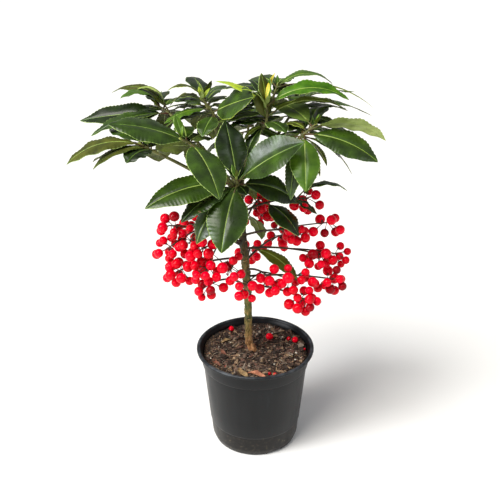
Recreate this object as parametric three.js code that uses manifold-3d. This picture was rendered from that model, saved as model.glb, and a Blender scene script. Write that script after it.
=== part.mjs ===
// A potted coral ardisia: one bent trunk with a whorl of boughs that carry rosettes of leathery leaves,
// sprays of red berries below them, and a black plastic nursery pot filled with potting mix.
// Millimetres, +Z up, +Y away from the front. The origin is the centre of the pot's flat underside.
// Bearings are in degrees round +Z from +X, so -90 is the front; a rise is in degrees above level.
import * as THREE from 'three';
import { mergeVertices } from 'three/addons/utils/BufferGeometryUtils.js';
import Module from 'manifold-3d';

const wasm = await Module();
wasm.setup();

// Driving dimensions
const GAP = 0.3;                 // between pieces that meet
const POT_HEIGHT = 107;
const RIM_RADIUS = 60;           // a nursery pot of 12 cm
const FOOT_RADIUS = 43.4;
const WALL = 1.6;
const FLOOR = 1.8;
const FOOT_ROUND = 2.2;          // its edge is rounded off by this much
const FOOT_BAND = [[45.2, 7], [46.6, 23], [47.3, 24.4]];    // radius and height, narrower than the wall
const WALL_RADIUS = 53.3;
const WALL_TOP = 88.6;
const COLLAR = [[54.4, 89.8], [55.5, 102.6]];    // radius and height: a wider collar below the rim
const RIM_UNDER = [59.2, -3];    // radius and height over the pot's top, and so on round the rolled rim
const RIM = [[RIM_RADIUS, -2.2], [RIM_RADIUS, -1], [59, 0], [57.2, 0], [56.2, -1.4]];
const INNER_COLLAR = [[54, 102], [52.8, 89]];    // radius and height on the inside
const POT_SIDES = 28;
const SOIL_RADIUS = 53.2;
const SOIL_TOP = 99.5;           // the mix stands 7.5 mm below the rim
const SOIL_SHOULDER = [40, 0.4]; // radius, and depth below its top: the surface falls away towards the wall
const SOIL_DROP = 1.6;           // depth at the wall
const SOIL_FLAT = 14;            // radius of the level middle
const NOTCHES = 3;               // drain notches round the foot
const NOTCH_BEARING = -62.5;
const NOTCH_WIDTH = 15;
const NOTCH_HEIGHT = 2.6;
const NOTCH_DEPTH = 5;

// Trunk: x, y, height and radius from below its flared foot, which is cut flat at the mix, up to the tip
const TRUNK = [
  [-1, 2, 95.5, 6.2],
  [-2.5, 2.5, 99.5, 5.6],
  [-4.5, 3.2, 103.5, 5.0],
  [-7.2, 4, 111, 4.5],
  [-7.8, 4, 130, 4.3],
  [-7.6, 4, 152, 4.2],
  [-8.6, 4, 180, 4.1],
  [-12, 4, 222, 3.7],
  [-15, 3, 262, 3.1],
  [-17, 1, 288, 2.3],
];
const TRUNK_STEPS = 2;           // rings between two of these places
const TRUNK_SIDES = 10;

// Boughs run from the trunk to a hub, where a leafy stem goes on
const CROWN_AXIS = [-15, 3];
const BOUGH_RADIUS = [1.9, 1.3];
const BOUGH_STEPS = 4;
const BOUGH_SIDES = 5;
const STEM_RADIUS = [1.5, 1.0];
const STEM_STEPS = 3;
const STEM_PULL = 0.4;           // share of its length over which a stem goes on the way of its bough
const STEM_SIDES = 3;

// A leaf: a slim stalk, then a blade that is widest just before its middle
const STALK_PART = 0.11;         // share of the length that is stalk
const STALK_HALF = 0.6;
const LEAF_STATIONS = [0, 0.14, 0.43, 0.74, 1];
const LEAF_SIDES = 4;            // two faces meet at the midrib above and two below
const BLADE_SKEW = 0.93;         // below 1 the blade is widest before its middle
const BLADE_FULLNESS = 0.82;     // below 1 its outline is fuller than a sine
const LEAF_STEPS = 14;           // steps of its middle line
const LEAF_THICK = 1 / 64;       // of its length, at the midrib
const LEAF_CLEAR = 1.3;          // half of the clearance between two blades
const SPOT_PITCH = 3.4;          // the places on a blade that are tested for clearance
const LEAFY_PART = [0.1, 0.97];  // share of a stem, or of a twig, that leaves grow on

// Fruit: umbels of berries on thin stalks, on twigs from the bare part of the trunk
const FRUIT_AXIS = [-11, 4];
const TWIG_RADIUS = [1.25, 0.8];
const TWIG_STEPS = 5;
const TWIG_SIDES = 3;
const TWIG_CLEAR = 1.6;
const SIDE_TWIG_RADIUS = [0.9, 0.75];
const SIDE_TWIG_STEPS = 2;
const SIDE_TWIG_FROM = 0.6;      // share of the twig where its side twigs leave
const SIDE_TWIG_LIFT = 0.3;      // their lift, as a share of the twig's
const BERRY_STALK = [9, 13];
const BERRY_STALK_RADIUS = 0.38;
const BERRY_SIDES = 4;
const UMBEL_LENGTH = 6;          // the stalks of an umbel spring from this much of its twig's end
const FIRST_STALK = 0.3;         // place of its last stalk, in stalks
const BERRY_STALK_CLEAR = 0.8;
const BERRY_RADIUS = [3.9, 5.3];
const BERRY_SAG = 1.5;
const BERRY_GAP = 0.3;
const BERRY_ROOM = 0.2;          // added to a berry's radius when its clearance is tested
const UMBEL_FALL = -25;          // rise of an umbel's axis
const UMBEL_SCATTER = 14;        // degrees by which a berry strays from the golden turn
const UMBEL_CAP = 1.45;          // how far round the axis the berries spread, 2 is a whole ball
const RELAX_ROUNDS = 40;
const RELAX_SHARE = 0.7;

// Turn between two leaves or berries that follow each other
const GOLDEN_TURN = 137.5;
const GOLDEN_SHARE = 0.618034;

// One shoot a row: name, height on the trunk, hub's bearing, reach and height, lift of the bough,
// stem's bearing, rise and length, then how many unseen leaves fill it, their length and the bearings
// between which they fan out, and last the leaves that show from the front, each as
// bearing, rise, droop, length, width, roll and place along the stem
const SHOOTS = [
  ['front', 258, -93, 26, 288, 2, -95, 45, 16, 3, 60, [20, 160], [
    [-106, -20, 50, 69, 37, 10, 0.3],
    [118, 76, 24, 55, 31, 0, 0.7],
    [-14, 46, 22, 74, 45, -50, 0.5],
    [-163, 14, 44, 88, 36, 22, 0.2],
    [-150, 0, 44, 64, 26, 8, 0],
    [-141, -16, 54, 67, 36, 0, 0],
    [14, 6, 56, 64, 30, -35, 0.1],
  ]],
  ['right', 270, -18, 56, 330, 4, 10, 40, 18, 4, 66, [40, 150], [
    [-92, -18, 48, 59, 30, 0, 0.3],
    [-16, 6, 46, 71, 32, -25, 0.3],
    [2, 28, 72, 75, 22, 42, 0.6],
    [16, -14, 50, 66, 18, -10, 0.1],
    [-118, -46, 44, 60, 18, 0, 0.2],
    [75, -44, 44, 72, 24, 0, 0],
    [44, 0, 60, 66, 26, 0, 0.3],
  ]],
  ['left', 263.5, -176, 74, 312, 6, 180, 30, 18, 4, 70, [60, 150], [
    [-126, 28, 66, 36, 27, 0, 0.3],
    [-170, 25, 72, 77, 28, 10, 0.8],
    [-157, 27, 80, 60, 22, 0, 0.4],
    [165, 10, 48, 70, 26, 0, 0.1],
  ]],
  ['front_left', 267, -143, 49, 326, 6, -140, 35, 16, 4, 60, [60, 150], [
    [-171, 32, 30, 74, 34, 22, 0.2],
    [-62, 0, 58, 70, 34, 6, 0.4],
    [160, 0, 20, 38, 20, -62, 0],
  ]],
  ['top_left', 272, 155, 70, 338, 6, 160, 30, 18, 4, 64, [20, 120], [
    [172, 1, 14, 88, 28, 32, 0.1],
    [-172, 6, 40, 78, 22, 8, 0.1],
    [163, 66, 102, 70, 26, 0, 0.05],
    [-152, 76, 118, 46, 22, 0, 0.9],
    [148, 12, 44, 74, 28, 0, 0.2],
  ]],
  ['top_middle', 279, 160, 24, 342, -12, 180, 56, 20, 4, 52, [60, 190], [
    [-34, 30, 12, 50, 38, -38, 0.2],
    [-16, 28, 30, 40, 20, -10, 0],
    [-170, 10, 50, 46, 22, 0, 0.4],
    [-105, 0, 40, 34, 20, 0, 0],
    [178, 44, 104, 36, 18, 0, 0.9],
  ]],
  ['top', 288, -10, 22, 336, 8, 60, 75, 20, 4, 54, [60, 200], [
    [-2, 44, 74, 74, 24, 24, 0.5],
    [125, 76, 4, 31, 21, 0, 0.3],
    [128, 80, 12, 29, 13, 0, 1],
    [20, 76, -14, 26, 13, 0, 1],
    [-60, 24, 50, 36, 20, 0, 0.2],
    [6, 45, 82, 81, 28, -20, 0.95],
  ]],
  ['top_right', 276, 32, 34, 354, 8, 30, 65, 16, 5, 62, [40, 150], [
    [17, 48, 94, 62, 22, 0, 0.8],
    [18, 4, 34, 106, 20, 0, 0.1],
  ]],
  ['back_left', 266.5, 118, 60, 330, 6, 125, 50, 24, 8, 64, [30, 250], []],
  ['back_right', 262.5, 48, 68, 328, 6, 45, 50, 24, 9, 66, [-50, 160], []],
  ['back', 257, 84, 68, 308, 6, 85, 40, 24, 9, 64, [-20, 190], []],
];

// One fruit spray a row: name, height on the trunk, lift of the twig, its umbels, each as bearing, reach,
// height and berries, and its leaves, in the same form as above
const SPRAYS = [
  ['left_high', 216, 12, [[-171, 71, 243, 7], [-167, 75, 221, 6], [-157, 56, 229, 6]], []],
  ['left_low', 204, 8, [[-155, 69, 204, 10], [-164, 50, 206, 4]], []],
  ['front_left', 222, 6, [[-136, 54, 231, 10], [-127, 57, 213, 8]], []],
  ['front_low', 172, 16, [[-126, 57, 197, 5]], []],
  ['front', 206, 10, [[-105, 47, 213, 9]], []],
  ['front_right', 191, 10, [[-54, 46, 198, 8], [-40, 57, 198, 6], [-88, 44, 197, 5]], []],
  ['right_low', 174, 8, [[-34, 69, 179, 11]], []],
  ['right', 184, 6, [[-8, 87, 187, 11], [-18, 63, 200, 3]], []],
  ['right_middle', 214, 8, [[-2, 74, 209, 9], [3, 92, 206, 3]], [[-38, 0, 57, 58, 18, -20, 0]]],
  ['right_high', 228, 6, [[-10, 50, 237, 10], [6, 83, 238, 5]], []],
  ['right_top', 252, 10, [[10, 62, 262, 8]], [
    [10, 62, 108, 58, 13, 0, 0.85],
    [-28, -4, 40, 30, 15, 0, 0.75],
    [-45, 4, 62, 50, 28, 0, 0.3],
  ]],
  ['inner', 234, 8, [[54, 24, 258, 8], [60, 36, 238, 4]], [[50, -30, 56, 40, 20, 0, 0.3]]],
  ['back', 210, 10, [[100, 62, 226, 6]], []],
  ['back_left', 218, 10, [[141, 66, 222, 7]], [[150, 10, 50, 52, 20, 0, 0.5]]],
  ['back_right', 200, 10, [[50, 62, 208, 6]], []],
  ['back_low', 184, 10, [[84, 50, 192, 6]], []],
];

// Materials, with the photo's colours
const paint = (color, roughness, metalness = 0) =>
  new THREE.MeshStandardMaterial({ color, roughness, metalness });
const PLASTIC = () => paint('#26282b', 0.5);
const MIX = () => paint('#3b2a20', 0.95);
const BARK = () => paint('#7d6a3e', 0.85);
const GREEN_BARK = () => paint('#6f6f3a', 0.8);
const LEAF = () => paint('#3f6a2a', 0.4);
const FRUIT = () => paint('#d40a2e', 0.3);

const UP = new THREE.Vector3(0, 0, 1);
const radians = THREE.MathUtils.degToRad;
const mix = THREE.MathUtils.lerp;

// Evenly spread numbers that start again from the same seed every time. Each spray and each leaf has a seed
// of its own, so that a change to one leaves the others as they are
const SPRAY_SEED = 5000;
const SPRAY_SEEDS = 131;
const FILL_SEED = 1000;
const SHOOT_SEEDS = 679;
const LEAF_SEEDS = 31;
const YOUNG_SEED = 9000;
const YOUNG_SEEDS = 77;
class Dice {
  constructor(seed) {
    this.state = seed;
    this.roll();
    this.roll();
  }
  roll(low = 0, high = 1) {
    this.state = (this.state * 16807) % 2147483647;
    return low + (high - low) * (this.state / 2147483647);
  }
}

// Unit vector along a bearing and a rise
function direction(bearing, rise) {
  const b = radians(bearing);
  const r = radians(rise);
  return new THREE.Vector3(Math.cos(r) * Math.cos(b), Math.cos(r) * Math.sin(b), Math.sin(r));
}

// Place at a bearing and reach from an upright axis, at a height
function around(axis, bearing, reach, height) {
  const b = radians(bearing);
  return new THREE.Vector3(axis[0] + reach * Math.cos(b), axis[1] + reach * Math.sin(b), height);
}

// Points of a curve from a to c that leans towards b
const arc = (a, b, c, steps) => new THREE.QuadraticBezierCurve3(a, b, c).getPoints(steps);

// Place at a share of the way along a list of points that are evenly parted
function along(points, share) {
  const at = share * (points.length - 1);
  const i = Math.min(Math.floor(at), points.length - 2);
  return points[i].clone().lerp(points[i + 1], at - i);
}

// Trunk's middle line and its radius at each point
const trunkLine = new THREE.CatmullRomCurve3(
  TRUNK.map(([x, y, z]) => new THREE.Vector3(x, y, z)), false, 'catmullrom').getPoints(
  (TRUNK.length - 1) * TRUNK_STEPS);
const trunkRadii = trunkLine.map((point, i) => {
  const at = i / TRUNK_STEPS;
  const k = Math.min(Math.floor(at), TRUNK.length - 2);
  return mix(TRUNK[k][3], TRUNK[k + 1][3], at - k);
});

function trunkAt(height) {
  for (let i = 1; i < trunkLine.length; i++) {
    if (trunkLine[i].z >= height) {
      const share = (height - trunkLine[i - 1].z) / (trunkLine[i].z - trunkLine[i - 1].z);
      return trunkLine[i - 1].clone().lerp(trunkLine[i], share);
    }
  }
  return trunkLine.at(-1).clone();
}

// Middle line of a leaf: it leaves its stem at a rise, then bends down evenly
function leafLine(root, [bearing, rise, droop, length]) {
  const points = [root.clone()];
  for (let i = 0; i < LEAF_STEPS; i++) {
    const ahead = direction(bearing, rise - droop * (i + 0.5) / LEAF_STEPS);
    points.push(points[i].clone().addScaledVector(ahead, length / LEAF_STEPS));
  }
  return points;
}

// Across and upper-face directions of a leaf at a share of its length
function leafFrame([bearing, rise, droop, , , roll], share) {
  const ahead = direction(bearing, rise - droop * share);
  const side = new THREE.Vector3().crossVectors(ahead, UP).normalize();
  const up = new THREE.Vector3().crossVectors(side, ahead);
  const r = radians(roll);
  return {
    side: side.clone().multiplyScalar(Math.cos(r)).addScaledVector(up, Math.sin(r)),
    up: up.clone().multiplyScalar(Math.cos(r)).addScaledVector(side, -Math.sin(r)),
  };
}

function leafHalfWidth(width, share) {
  if (share <= STALK_PART) {
    return STALK_HALF;
  }
  const blade = (share - STALK_PART) / (1 - STALK_PART);
  const half = 0.5 * width * Math.max(0, Math.sin(Math.PI * blade ** BLADE_SKEW)) ** BLADE_FULLNESS;
  return share === 1 ? 0 : Math.max(half, STALK_HALF);
}

// Clearance is tested on spots: balls of one radius at places on a limb, a blade or a berry
function spotGroup(owner, places, radius) {
  return { owner, places, radius, box: new THREE.Box3().setFromPoints(places).expandByScalar(radius) };
}

function spotsAlong(points, step) {
  const places = [];
  for (let i = 1; i < points.length; i++) {
    const count = Math.max(1, Math.ceil(points[i].distanceTo(points[i - 1]) / step));
    for (let k = 0; k < count; k++) {
      places.push(points[i - 1].clone().lerp(points[i], k / count));
    }
  }
  places.push(points.at(-1).clone());
  return places;
}

const BLADE_TEST_FROM = STALK_PART + 0.05;       // share of the leaf's length
function bladeSpots(line, leaf) {
  const [, , , length, width] = leaf;
  const rows = Math.max(4, Math.floor(length * (1 - STALK_PART) / SPOT_PITCH));
  const places = [];
  for (let i = 0; i <= rows; i++) {
    const share = mix(BLADE_TEST_FROM, 1, i / rows);
    const middle = along(line, share);
    const { side } = leafFrame(leaf, share);
    const half = leafHalfWidth(width, share);
    const count = Math.max(1, Math.ceil(half / SPOT_PITCH));
    for (let k = -count; k <= count; k++) {
      places.push(middle.clone().addScaledVector(side, half * k / count));
    }
  }
  return places;
}

// True where no spot of the group comes near a spot of the taken groups that the test covers
function isClear(group, taken, covers = () => true) {
  return !taken.some((other) => {
    const reach = group.radius + other.radius;
    return covers(other) && group.box.intersectsBox(other.box)
      && group.places.some((a) => other.places.some((b) => a.distanceToSquared(b) < reach * reach));
  });
}

const taken = [];
const notOwn = (owner) => (other) => other.owner !== owner;

// Tries to put a leaf on a stem; a seen leaf may touch its own mass, the others touch nothing
function tryLeaf(owner, stem, leaf, seen) {
  const line = leafLine(along(stem, mix(...LEAFY_PART, leaf[6])), leaf);
  const group = spotGroup(owner, bladeSpots(line, leaf), LEAF_CLEAR);
  if (!isClear(group, taken, seen ? notOwn(owner) : undefined)) {
    return null;
  }
  taken.push(group);
  return { line, leaf };
}

// Limbs of every shoot
const BOUGH_CLEAR = 2.3;
const STEM_CLEAR = 1.7;
const SPOT_STEP = 1.5;
const NEAR_TRUNK = 8;            // spots of a bough that lie beside the trunk
const TRUNK_CLEAR = 4.5;
taken.push(spotGroup('trunk', spotsAlong(trunkLine, SPOT_PITCH), TRUNK_CLEAR));
const shoots = SHOOTS.map((row) => {
  const [name, from, bearing, reach, height, lift, stemBearing, stemRise, stemLength] = row;
  const start = trunkAt(from);
  const hub = around(CROWN_AXIS, bearing, reach, height);
  const lean = start.clone().add(hub).multiplyScalar(0.5);
  lean.z += lift;
  const ahead = hub.clone().sub(lean).normalize();
  const bough = arc(start, lean, hub, BOUGH_STEPS);
  const root = hub.clone().addScaledVector(ahead, GAP);
  const tip = hub.clone().addScaledVector(direction(stemBearing, stemRise), stemLength);
  const stem = arc(root, hub.clone().addScaledVector(ahead, STEM_PULL * stemLength), tip, STEM_STEPS);
  taken.push(spotGroup(name, spotsAlong(bough, SPOT_STEP).slice(NEAR_TRUNK), BOUGH_CLEAR));
  taken.push(spotGroup(name, spotsAlong(stem, SPOT_STEP), STEM_CLEAR));
  return { name, bough, stem, leaves: [], row };
});

// Seen leaves come first, so that nothing unseen takes their room
for (const shoot of shoots) {
  for (const leaf of shoot.row[12]) {
    const grown = tryLeaf(shoot.name, shoot.stem, leaf, true);
    if (grown) {
      shoot.leaves.push(grown);
    }
  }
}

// Directions of the berries' stalks in one umbel
function umbelDirections(count, axis, dice) {
  const side = new THREE.Vector3().crossVectors(axis, UP).normalize();
  const up = new THREE.Vector3().crossVectors(side, axis);
  return Array.from({ length: count }, (_, i) => {
    const height = 1 - UMBEL_CAP * (i + 0.5) / count;
    const turn = radians(GOLDEN_TURN * i + dice.roll(-UMBEL_SCATTER, UMBEL_SCATTER));
    const radius = Math.sqrt(Math.max(0, 1 - height * height));
    return axis.clone().multiplyScalar(height)
      .addScaledVector(side, radius * Math.cos(turn)).addScaledVector(up, radius * Math.sin(turn));
  });
}

// Twigs and first places of the berries of every spray
const sprays = SPRAYS.map(([name, height, lift, umbels, seen], k) => {
  const owner = `fruit_${name}`;
  const dice = new Dice(SPRAY_SEED + SPRAY_SEEDS * k);
  const start = trunkAt(height);
  const spray = { owner, twigs: [], berries: [], leaves: [], seen };
  umbels.forEach(([bearing, reach, rise, count], j) => {
    const hub = around(FRUIT_AXIS, bearing, reach, rise);
    const from = j === 0 ? start : along(spray.twigs[0], SIDE_TWIG_FROM);
    const lean = from.clone().add(hub).multiplyScalar(0.5);
    lean.z += j === 0 ? lift : SIDE_TWIG_LIFT * lift;
    spray.twigs.push(arc(from, lean, hub, j === 0 ? TWIG_STEPS : SIDE_TWIG_STEPS));
    const back = lean.clone().sub(hub).normalize();
    umbelDirections(count, direction(bearing, UMBEL_FALL), dice).forEach((way, i) => {
      const root = hub.clone().addScaledVector(back, UMBEL_LENGTH * (i + FIRST_STALK) / count);
      const place = root.clone().addScaledVector(way, dice.roll(...BERRY_STALK));
      place.z -= BERRY_SAG;
      spray.berries.push({ owner, root, place, radius: dice.roll(...BERRY_RADIUS) });
    });
  });
  return spray;
});

// Twigs come before the berries, which keep off them
const NEAR_TRUNK_TWIG = 5;
const twigGroups = sprays.flatMap((spray) => spray.twigs.map((twig) =>
  spotGroup(spray.owner, spotsAlong(twig, SPOT_STEP).slice(NEAR_TRUNK_TWIG), TWIG_CLEAR)));
taken.push(...twigGroups);
for (const spray of sprays) {
  for (const leaf of spray.seen) {
    const grown = tryLeaf(spray.owner, spray.twigs[0], leaf, true);
    if (grown) {
      spray.leaves.push(grown);
    }
  }
}

// Berries push each other apart, and keep off the trunk, the twigs and each other's stalks;
// the moves of one round all come from the places before it
const allBerries = sprays.flatMap((spray) => spray.berries);
const keepOff = [taken[0], ...twigGroups];
const nearest = new THREE.Vector3();
const stalkLine = new THREE.Line3();
for (let round = 0; round < RELAX_ROUNDS; round++) {
  const moves = allBerries.map(() => new THREE.Vector3());
  allBerries.forEach((berry, i) => {
    const push = (from, room, share) => {
      const away = berry.place.clone().sub(from);
      const distance = away.length();
      const short = distance > 0 ? share * Math.max(0, room - distance) / distance : 0;
      moves[i].addScaledVector(away, short);
      return away.multiplyScalar(short);
    };
    allBerries.forEach((other, j) => {
      if (i !== j) {
        push(other.place, berry.radius + other.radius + BERRY_GAP, 0.5);
        stalkLine.set(other.root, other.place);
        const share = stalkLine.closestPointToPointParameter(berry.place, true);
        stalkLine.at(share, nearest);
        moves[j].addScaledVector(push(nearest, berry.radius + BERRY_STALK_CLEAR, 0.5), -share);
      }
    });
    for (const group of keepOff) {
      if (group.box.distanceToPoint(berry.place) < berry.radius) {
        group.places.forEach((spot) => push(spot, berry.radius + group.radius, 1));
      }
    }
  });
  allBerries.forEach((berry, i) => berry.place.addScaledVector(moves[i], RELAX_SHARE));
}

// A berry that comes near another spray, a leaf or a limb is left out
const STALK_STEP = 0.5;
for (const spray of sprays) {
  spray.berries = spray.berries.filter(({ owner, root, place, radius }) => {
    const berry = spotGroup(owner, [place], radius + BERRY_ROOM);
    const stalk = spotGroup(owner, spotsAlong([root, place], STALK_STEP), BERRY_STALK_CLEAR);
    const clear = isClear(berry, taken, notOwn(owner)) && isClear(stalk, taken, notOwn(owner));
    if (clear) {
      taken.push(berry, stalk);
    }
    return clear;
  });
}

// The unseen leaves fan out round each stem; one that would touch tries again a little to the side. Lists
// are the values at the stem's foot and at its tip, or a low and a high value
const FILL_START = 0.31;         // share of the fan where the first leaf grows
const FILL_STRAY = 8;            // degrees by which a leaf strays from its place in the fan
const FILL_RISE = [-8, 30];
const RISE_STRAY = 6;
const FILL_DROOP = [50, 44];
const DROOP_STRAY = 10;
const FILL_LENGTH = [1.05, 0.85];
const LENGTH_STRAY = [0.9, 1.1];
const SLIMNESS = [0.36, 0.44];   // width of a leaf as a share of its length
const ROLL_STRAY = 14;
const SIDE_STEPS = [[0, 0], [12, 5], [-12, -5], [22, 12], [-22, -12]];
const SPARE_TRIES = 16;
shoots.forEach((shoot, k) => {
  const [count, usual, [first, last]] = shoot.row.slice(9, 12);
  let grown = 0;
  for (let i = 0; grown < count && i < count + SPARE_TRIES; i++) {
    const share = (grown + 0.5) / count;
    const dice = new Dice(FILL_SEED + SHOOT_SEEDS * k + LEAF_SEEDS * i);
    const stray = dice.roll(-FILL_STRAY, FILL_STRAY);
    const bearing = mix(first, last, (FILL_START + GOLDEN_SHARE * i) % 1) + stray;
    const rise = mix(...FILL_RISE, share) + dice.roll(-RISE_STRAY, RISE_STRAY);
    const droop = mix(...FILL_DROOP, share) + dice.roll(-DROOP_STRAY, DROOP_STRAY);
    const length = usual * mix(...FILL_LENGTH, share) * dice.roll(...LENGTH_STRAY);
    const width = length * dice.roll(...SLIMNESS);
    const roll = dice.roll(-ROLL_STRAY, ROLL_STRAY);
    for (const [turn, lift] of SIDE_STEPS) {
      const leaf = [bearing + turn, rise + lift, droop, length, width, roll, share];
      const made = tryLeaf(shoot.name, shoot.stem, leaf, false);
      if (made) {
        shoot.leaves.push(made);
        grown += 1;
        break;
      }
    }
  }
});

// Young leaves stand up round the bud at the end of each stem
const YOUNG_LEAVES = 1;
const YOUNG_LENGTH = [15, 23];
const YOUNG_RISE = [48, 72];
const YOUNG_DROOP = [0, 24];
const YOUNG_SLIMNESS = 0.42;
const YOUNG_TURN = 40;           // degrees between the first young leaves of two shoots
const YOUNG_PLACE = 0.96;
shoots.forEach((shoot, k) => {
  const dice = new Dice(YOUNG_SEED + YOUNG_SEEDS * k);
  for (let i = 0; i < YOUNG_LEAVES; i++) {
    const length = dice.roll(...YOUNG_LENGTH);
    const rise = dice.roll(...YOUNG_RISE);
    const droop = dice.roll(...YOUNG_DROOP);
    const bearing = GOLDEN_TURN * i + YOUNG_TURN * k;
    const leaf = [bearing, rise, droop, length, YOUNG_SLIMNESS * length, 0, YOUNG_PLACE];
    const made = tryLeaf(shoot.name, shoot.stem, leaf, false);
    if (made) {
      shoot.leaves.push(made);
    }
  }
});

// Solids
function solidOf(geometry) {
  geometry.deleteAttribute('normal');
  geometry.deleteAttribute('uv');
  const merged = mergeVertices(geometry, 1e-4);
  return new wasm.Manifold(new wasm.Mesh({
    numProp: 3,
    vertProperties: merged.attributes.position.array,
    triVerts: new Uint32Array(merged.index.array),
  }));
}

// A body of rings: a cylinder whose rings are moved to their stations. Each station has a centre, two
// directions and the half sizes along them, and a last station with no size is a point
function ringSolid(stations, sides) {
  const last = stations.length - 1;
  const end = stations[last].half[0] > 0 ? 1 : 0;
  const geometry = new THREE.CylinderGeometry(1, end, 1, sides, last);
  const position = geometry.attributes.position;
  for (let i = 0; i < position.count; i++) {
    const share = 0.5 - position.getY(i);
    const ring = stations[Math.round(share * last)];
    const drawn = mix(1, end, share) || 1;
    const place = ring.centre.clone()
      .addScaledVector(ring.side, ring.half[0] * position.getX(i) / drawn)
      .addScaledVector(ring.up, -ring.half[1] * position.getZ(i) / drawn);
    position.setXYZ(i, place.x, place.y, place.z);
  }
  return solidOf(geometry);
}

// A tapering limb along points; radii is a list, or the first and last radius
function limbSolid(points, radii, sides) {
  const last = points.length - 1;
  let side = new THREE.Vector3(0, 1, 0);
  const stations = points.map((centre, i) => {
    const ahead = points[Math.min(i + 1, last)].clone().sub(points[Math.max(i - 1, 0)]).normalize();
    side = side.clone().addScaledVector(ahead, -side.dot(ahead)).normalize();
    const up = new THREE.Vector3().crossVectors(side, ahead);
    const radius = radii.length === 2 ? mix(radii[0], radii[1], i / last) : radii[i];
    return { centre, side, up, half: [radius, radius] };
  });
  return ringSolid(stations, sides);
}

function leafSolid({ line, leaf }) {
  const [, , , length, width] = leaf;
  const stations = LEAF_STATIONS.map((share) => {
    const { side, up } = leafFrame(leaf, share);
    const half = [leafHalfWidth(width, share), share <= STALK_PART ? STALK_HALF : LEAF_THICK * length / 2];
    return { centre: along(line, share), side, up, half };
  });
  return ringSolid(stations, LEAF_SIDES);
}

// A berry on its stalk: a slim limb that widens into a ball of two rings, one turned against the other
const RING_AT = 0.42;            // share of the berry's radius from its middle to a ring
const RING_RADIUS = 0.88;
const STALK_END = 0.9;           // share of the berry's radius from its middle to where its stalk ends
function berrySolid({ root, place, radius }) {
  const ahead = place.clone().sub(root).normalize();
  const side = new THREE.Vector3().crossVectors(ahead, UP).normalize();
  const up = new THREE.Vector3().crossVectors(side, ahead);
  const turned = side.clone().add(up).normalize();
  const turnedUp = new THREE.Vector3().crossVectors(turned, ahead);
  const at = (share, half, round = false) => ({
    centre: place.clone().addScaledVector(ahead, share * radius),
    side: round ? turned : side,
    up: round ? turnedUp : up,
    half: [half, half],
  });
  const stations = [
    { ...at(0, BERRY_STALK_RADIUS), centre: root.clone() },
    at(-STALK_END, BERRY_STALK_RADIUS),
    at(-RING_AT, RING_RADIUS * radius),
    at(RING_AT, RING_RADIUS * radius, true),
    at(1, 0),
  ];
  return ringSolid(stations, BERRY_SIDES);
}

const join = (solids) => solids.reduce((whole, solid) => whole.add(solid));

// Geometry of a solid's largest piece; scraps and sealed hollows are shells of their own and fall away
function geometryOf(solid) {
  const { numProp, vertProperties, triVerts } = solid.getMesh();
  const parent = Array.from({ length: vertProperties.length / numProp }, (_, i) => i);
  const find = (i) => {
    while (parent[i] !== i) {
      parent[i] = parent[parent[i]];
      i = parent[i];
    }
    return i;
  };
  for (let t = 0; t < triVerts.length; t += 3) {
    parent[find(triVerts[t])] = find(triVerts[t + 1]);
    parent[find(triVerts[t])] = find(triVerts[t + 2]);
  }
  const shells = new Map();
  for (let t = 0; t < triVerts.length; t += 3) {
    const shell = find(triVerts[t]);
    shells.set(shell, (shells.get(shell) ?? []).concat([[triVerts[t], triVerts[t + 1], triVerts[t + 2]]]));
  }
  const largest = [...shells.values()].sort((a, b) => b.length - a.length)[0];
  const geometry = new THREE.BufferGeometry();
  geometry.setAttribute('position', new THREE.BufferAttribute(new Float32Array(vertProperties), numProp));
  geometry.setIndex(largest.flat());
  const compact = geometry.toNonIndexed();
  return mergeVertices(compact, 1e-4);
}

const plant = new THREE.Group();
function addPart(name, solid, material) {
  const geometry = geometryOf(solid);
  geometry.computeVertexNormals();
  const mesh = new THREE.Mesh(geometry, material);
  mesh.name = name;
  plant.add(mesh);
}

// Pot: a thin tapering wall with a recessed foot band, a collar and a rolled rim, and a flat floor
function potSolid() {
  const rim = [RIM_UNDER, ...RIM].map(([radius, height]) => [radius, POT_HEIGHT + height]);
  const profile = [
    [0, 0], [FOOT_RADIUS - FOOT_ROUND, 0], [FOOT_RADIUS, FLOOR], ...FOOT_BAND, [WALL_RADIUS, WALL_TOP],
    ...COLLAR, ...rim, ...INNER_COLLAR, [WALL_RADIUS - WALL, WALL_TOP - 1], [FOOT_RADIUS - WALL, FLOOR],
    [0, FLOOR],
  ];
  const lathe = new THREE.LatheGeometry(profile.map(([r, z]) => new THREE.Vector2(r, z)), POT_SIDES);
  lathe.rotateX(Math.PI / 2);
  let pot = solidOf(lathe);
  for (let i = 0; i < NOTCHES; i++) {
    const notch = new THREE.BoxGeometry(NOTCH_DEPTH * 2, NOTCH_WIDTH, NOTCH_HEIGHT * 2);
    notch.translate(FOOT_RADIUS, 0, 0);
    notch.rotateZ(radians(NOTCH_BEARING + i * 360 / NOTCHES));
    pot = pot.subtract(solidOf(notch));
  }
  return pot;
}

// Potting mix: fills the pot and falls away a little towards the wall
function soilSolid() {
  const profile = [
    [0, FLOOR + GAP], [FOOT_RADIUS - WALL - GAP, FLOOR + GAP], [WALL_RADIUS - WALL - GAP, WALL_TOP - 1],
    [SOIL_RADIUS, SOIL_TOP - SOIL_DROP], [SOIL_SHOULDER[0], SOIL_TOP - SOIL_SHOULDER[1]],
    [SOIL_FLAT, SOIL_TOP], [0, SOIL_TOP],
  ];
  const lathe = new THREE.LatheGeometry(profile.map(([r, z]) => new THREE.Vector2(r, z)), POT_SIDES);
  return solidOf(lathe.rotateX(Math.PI / 2));
}

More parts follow.
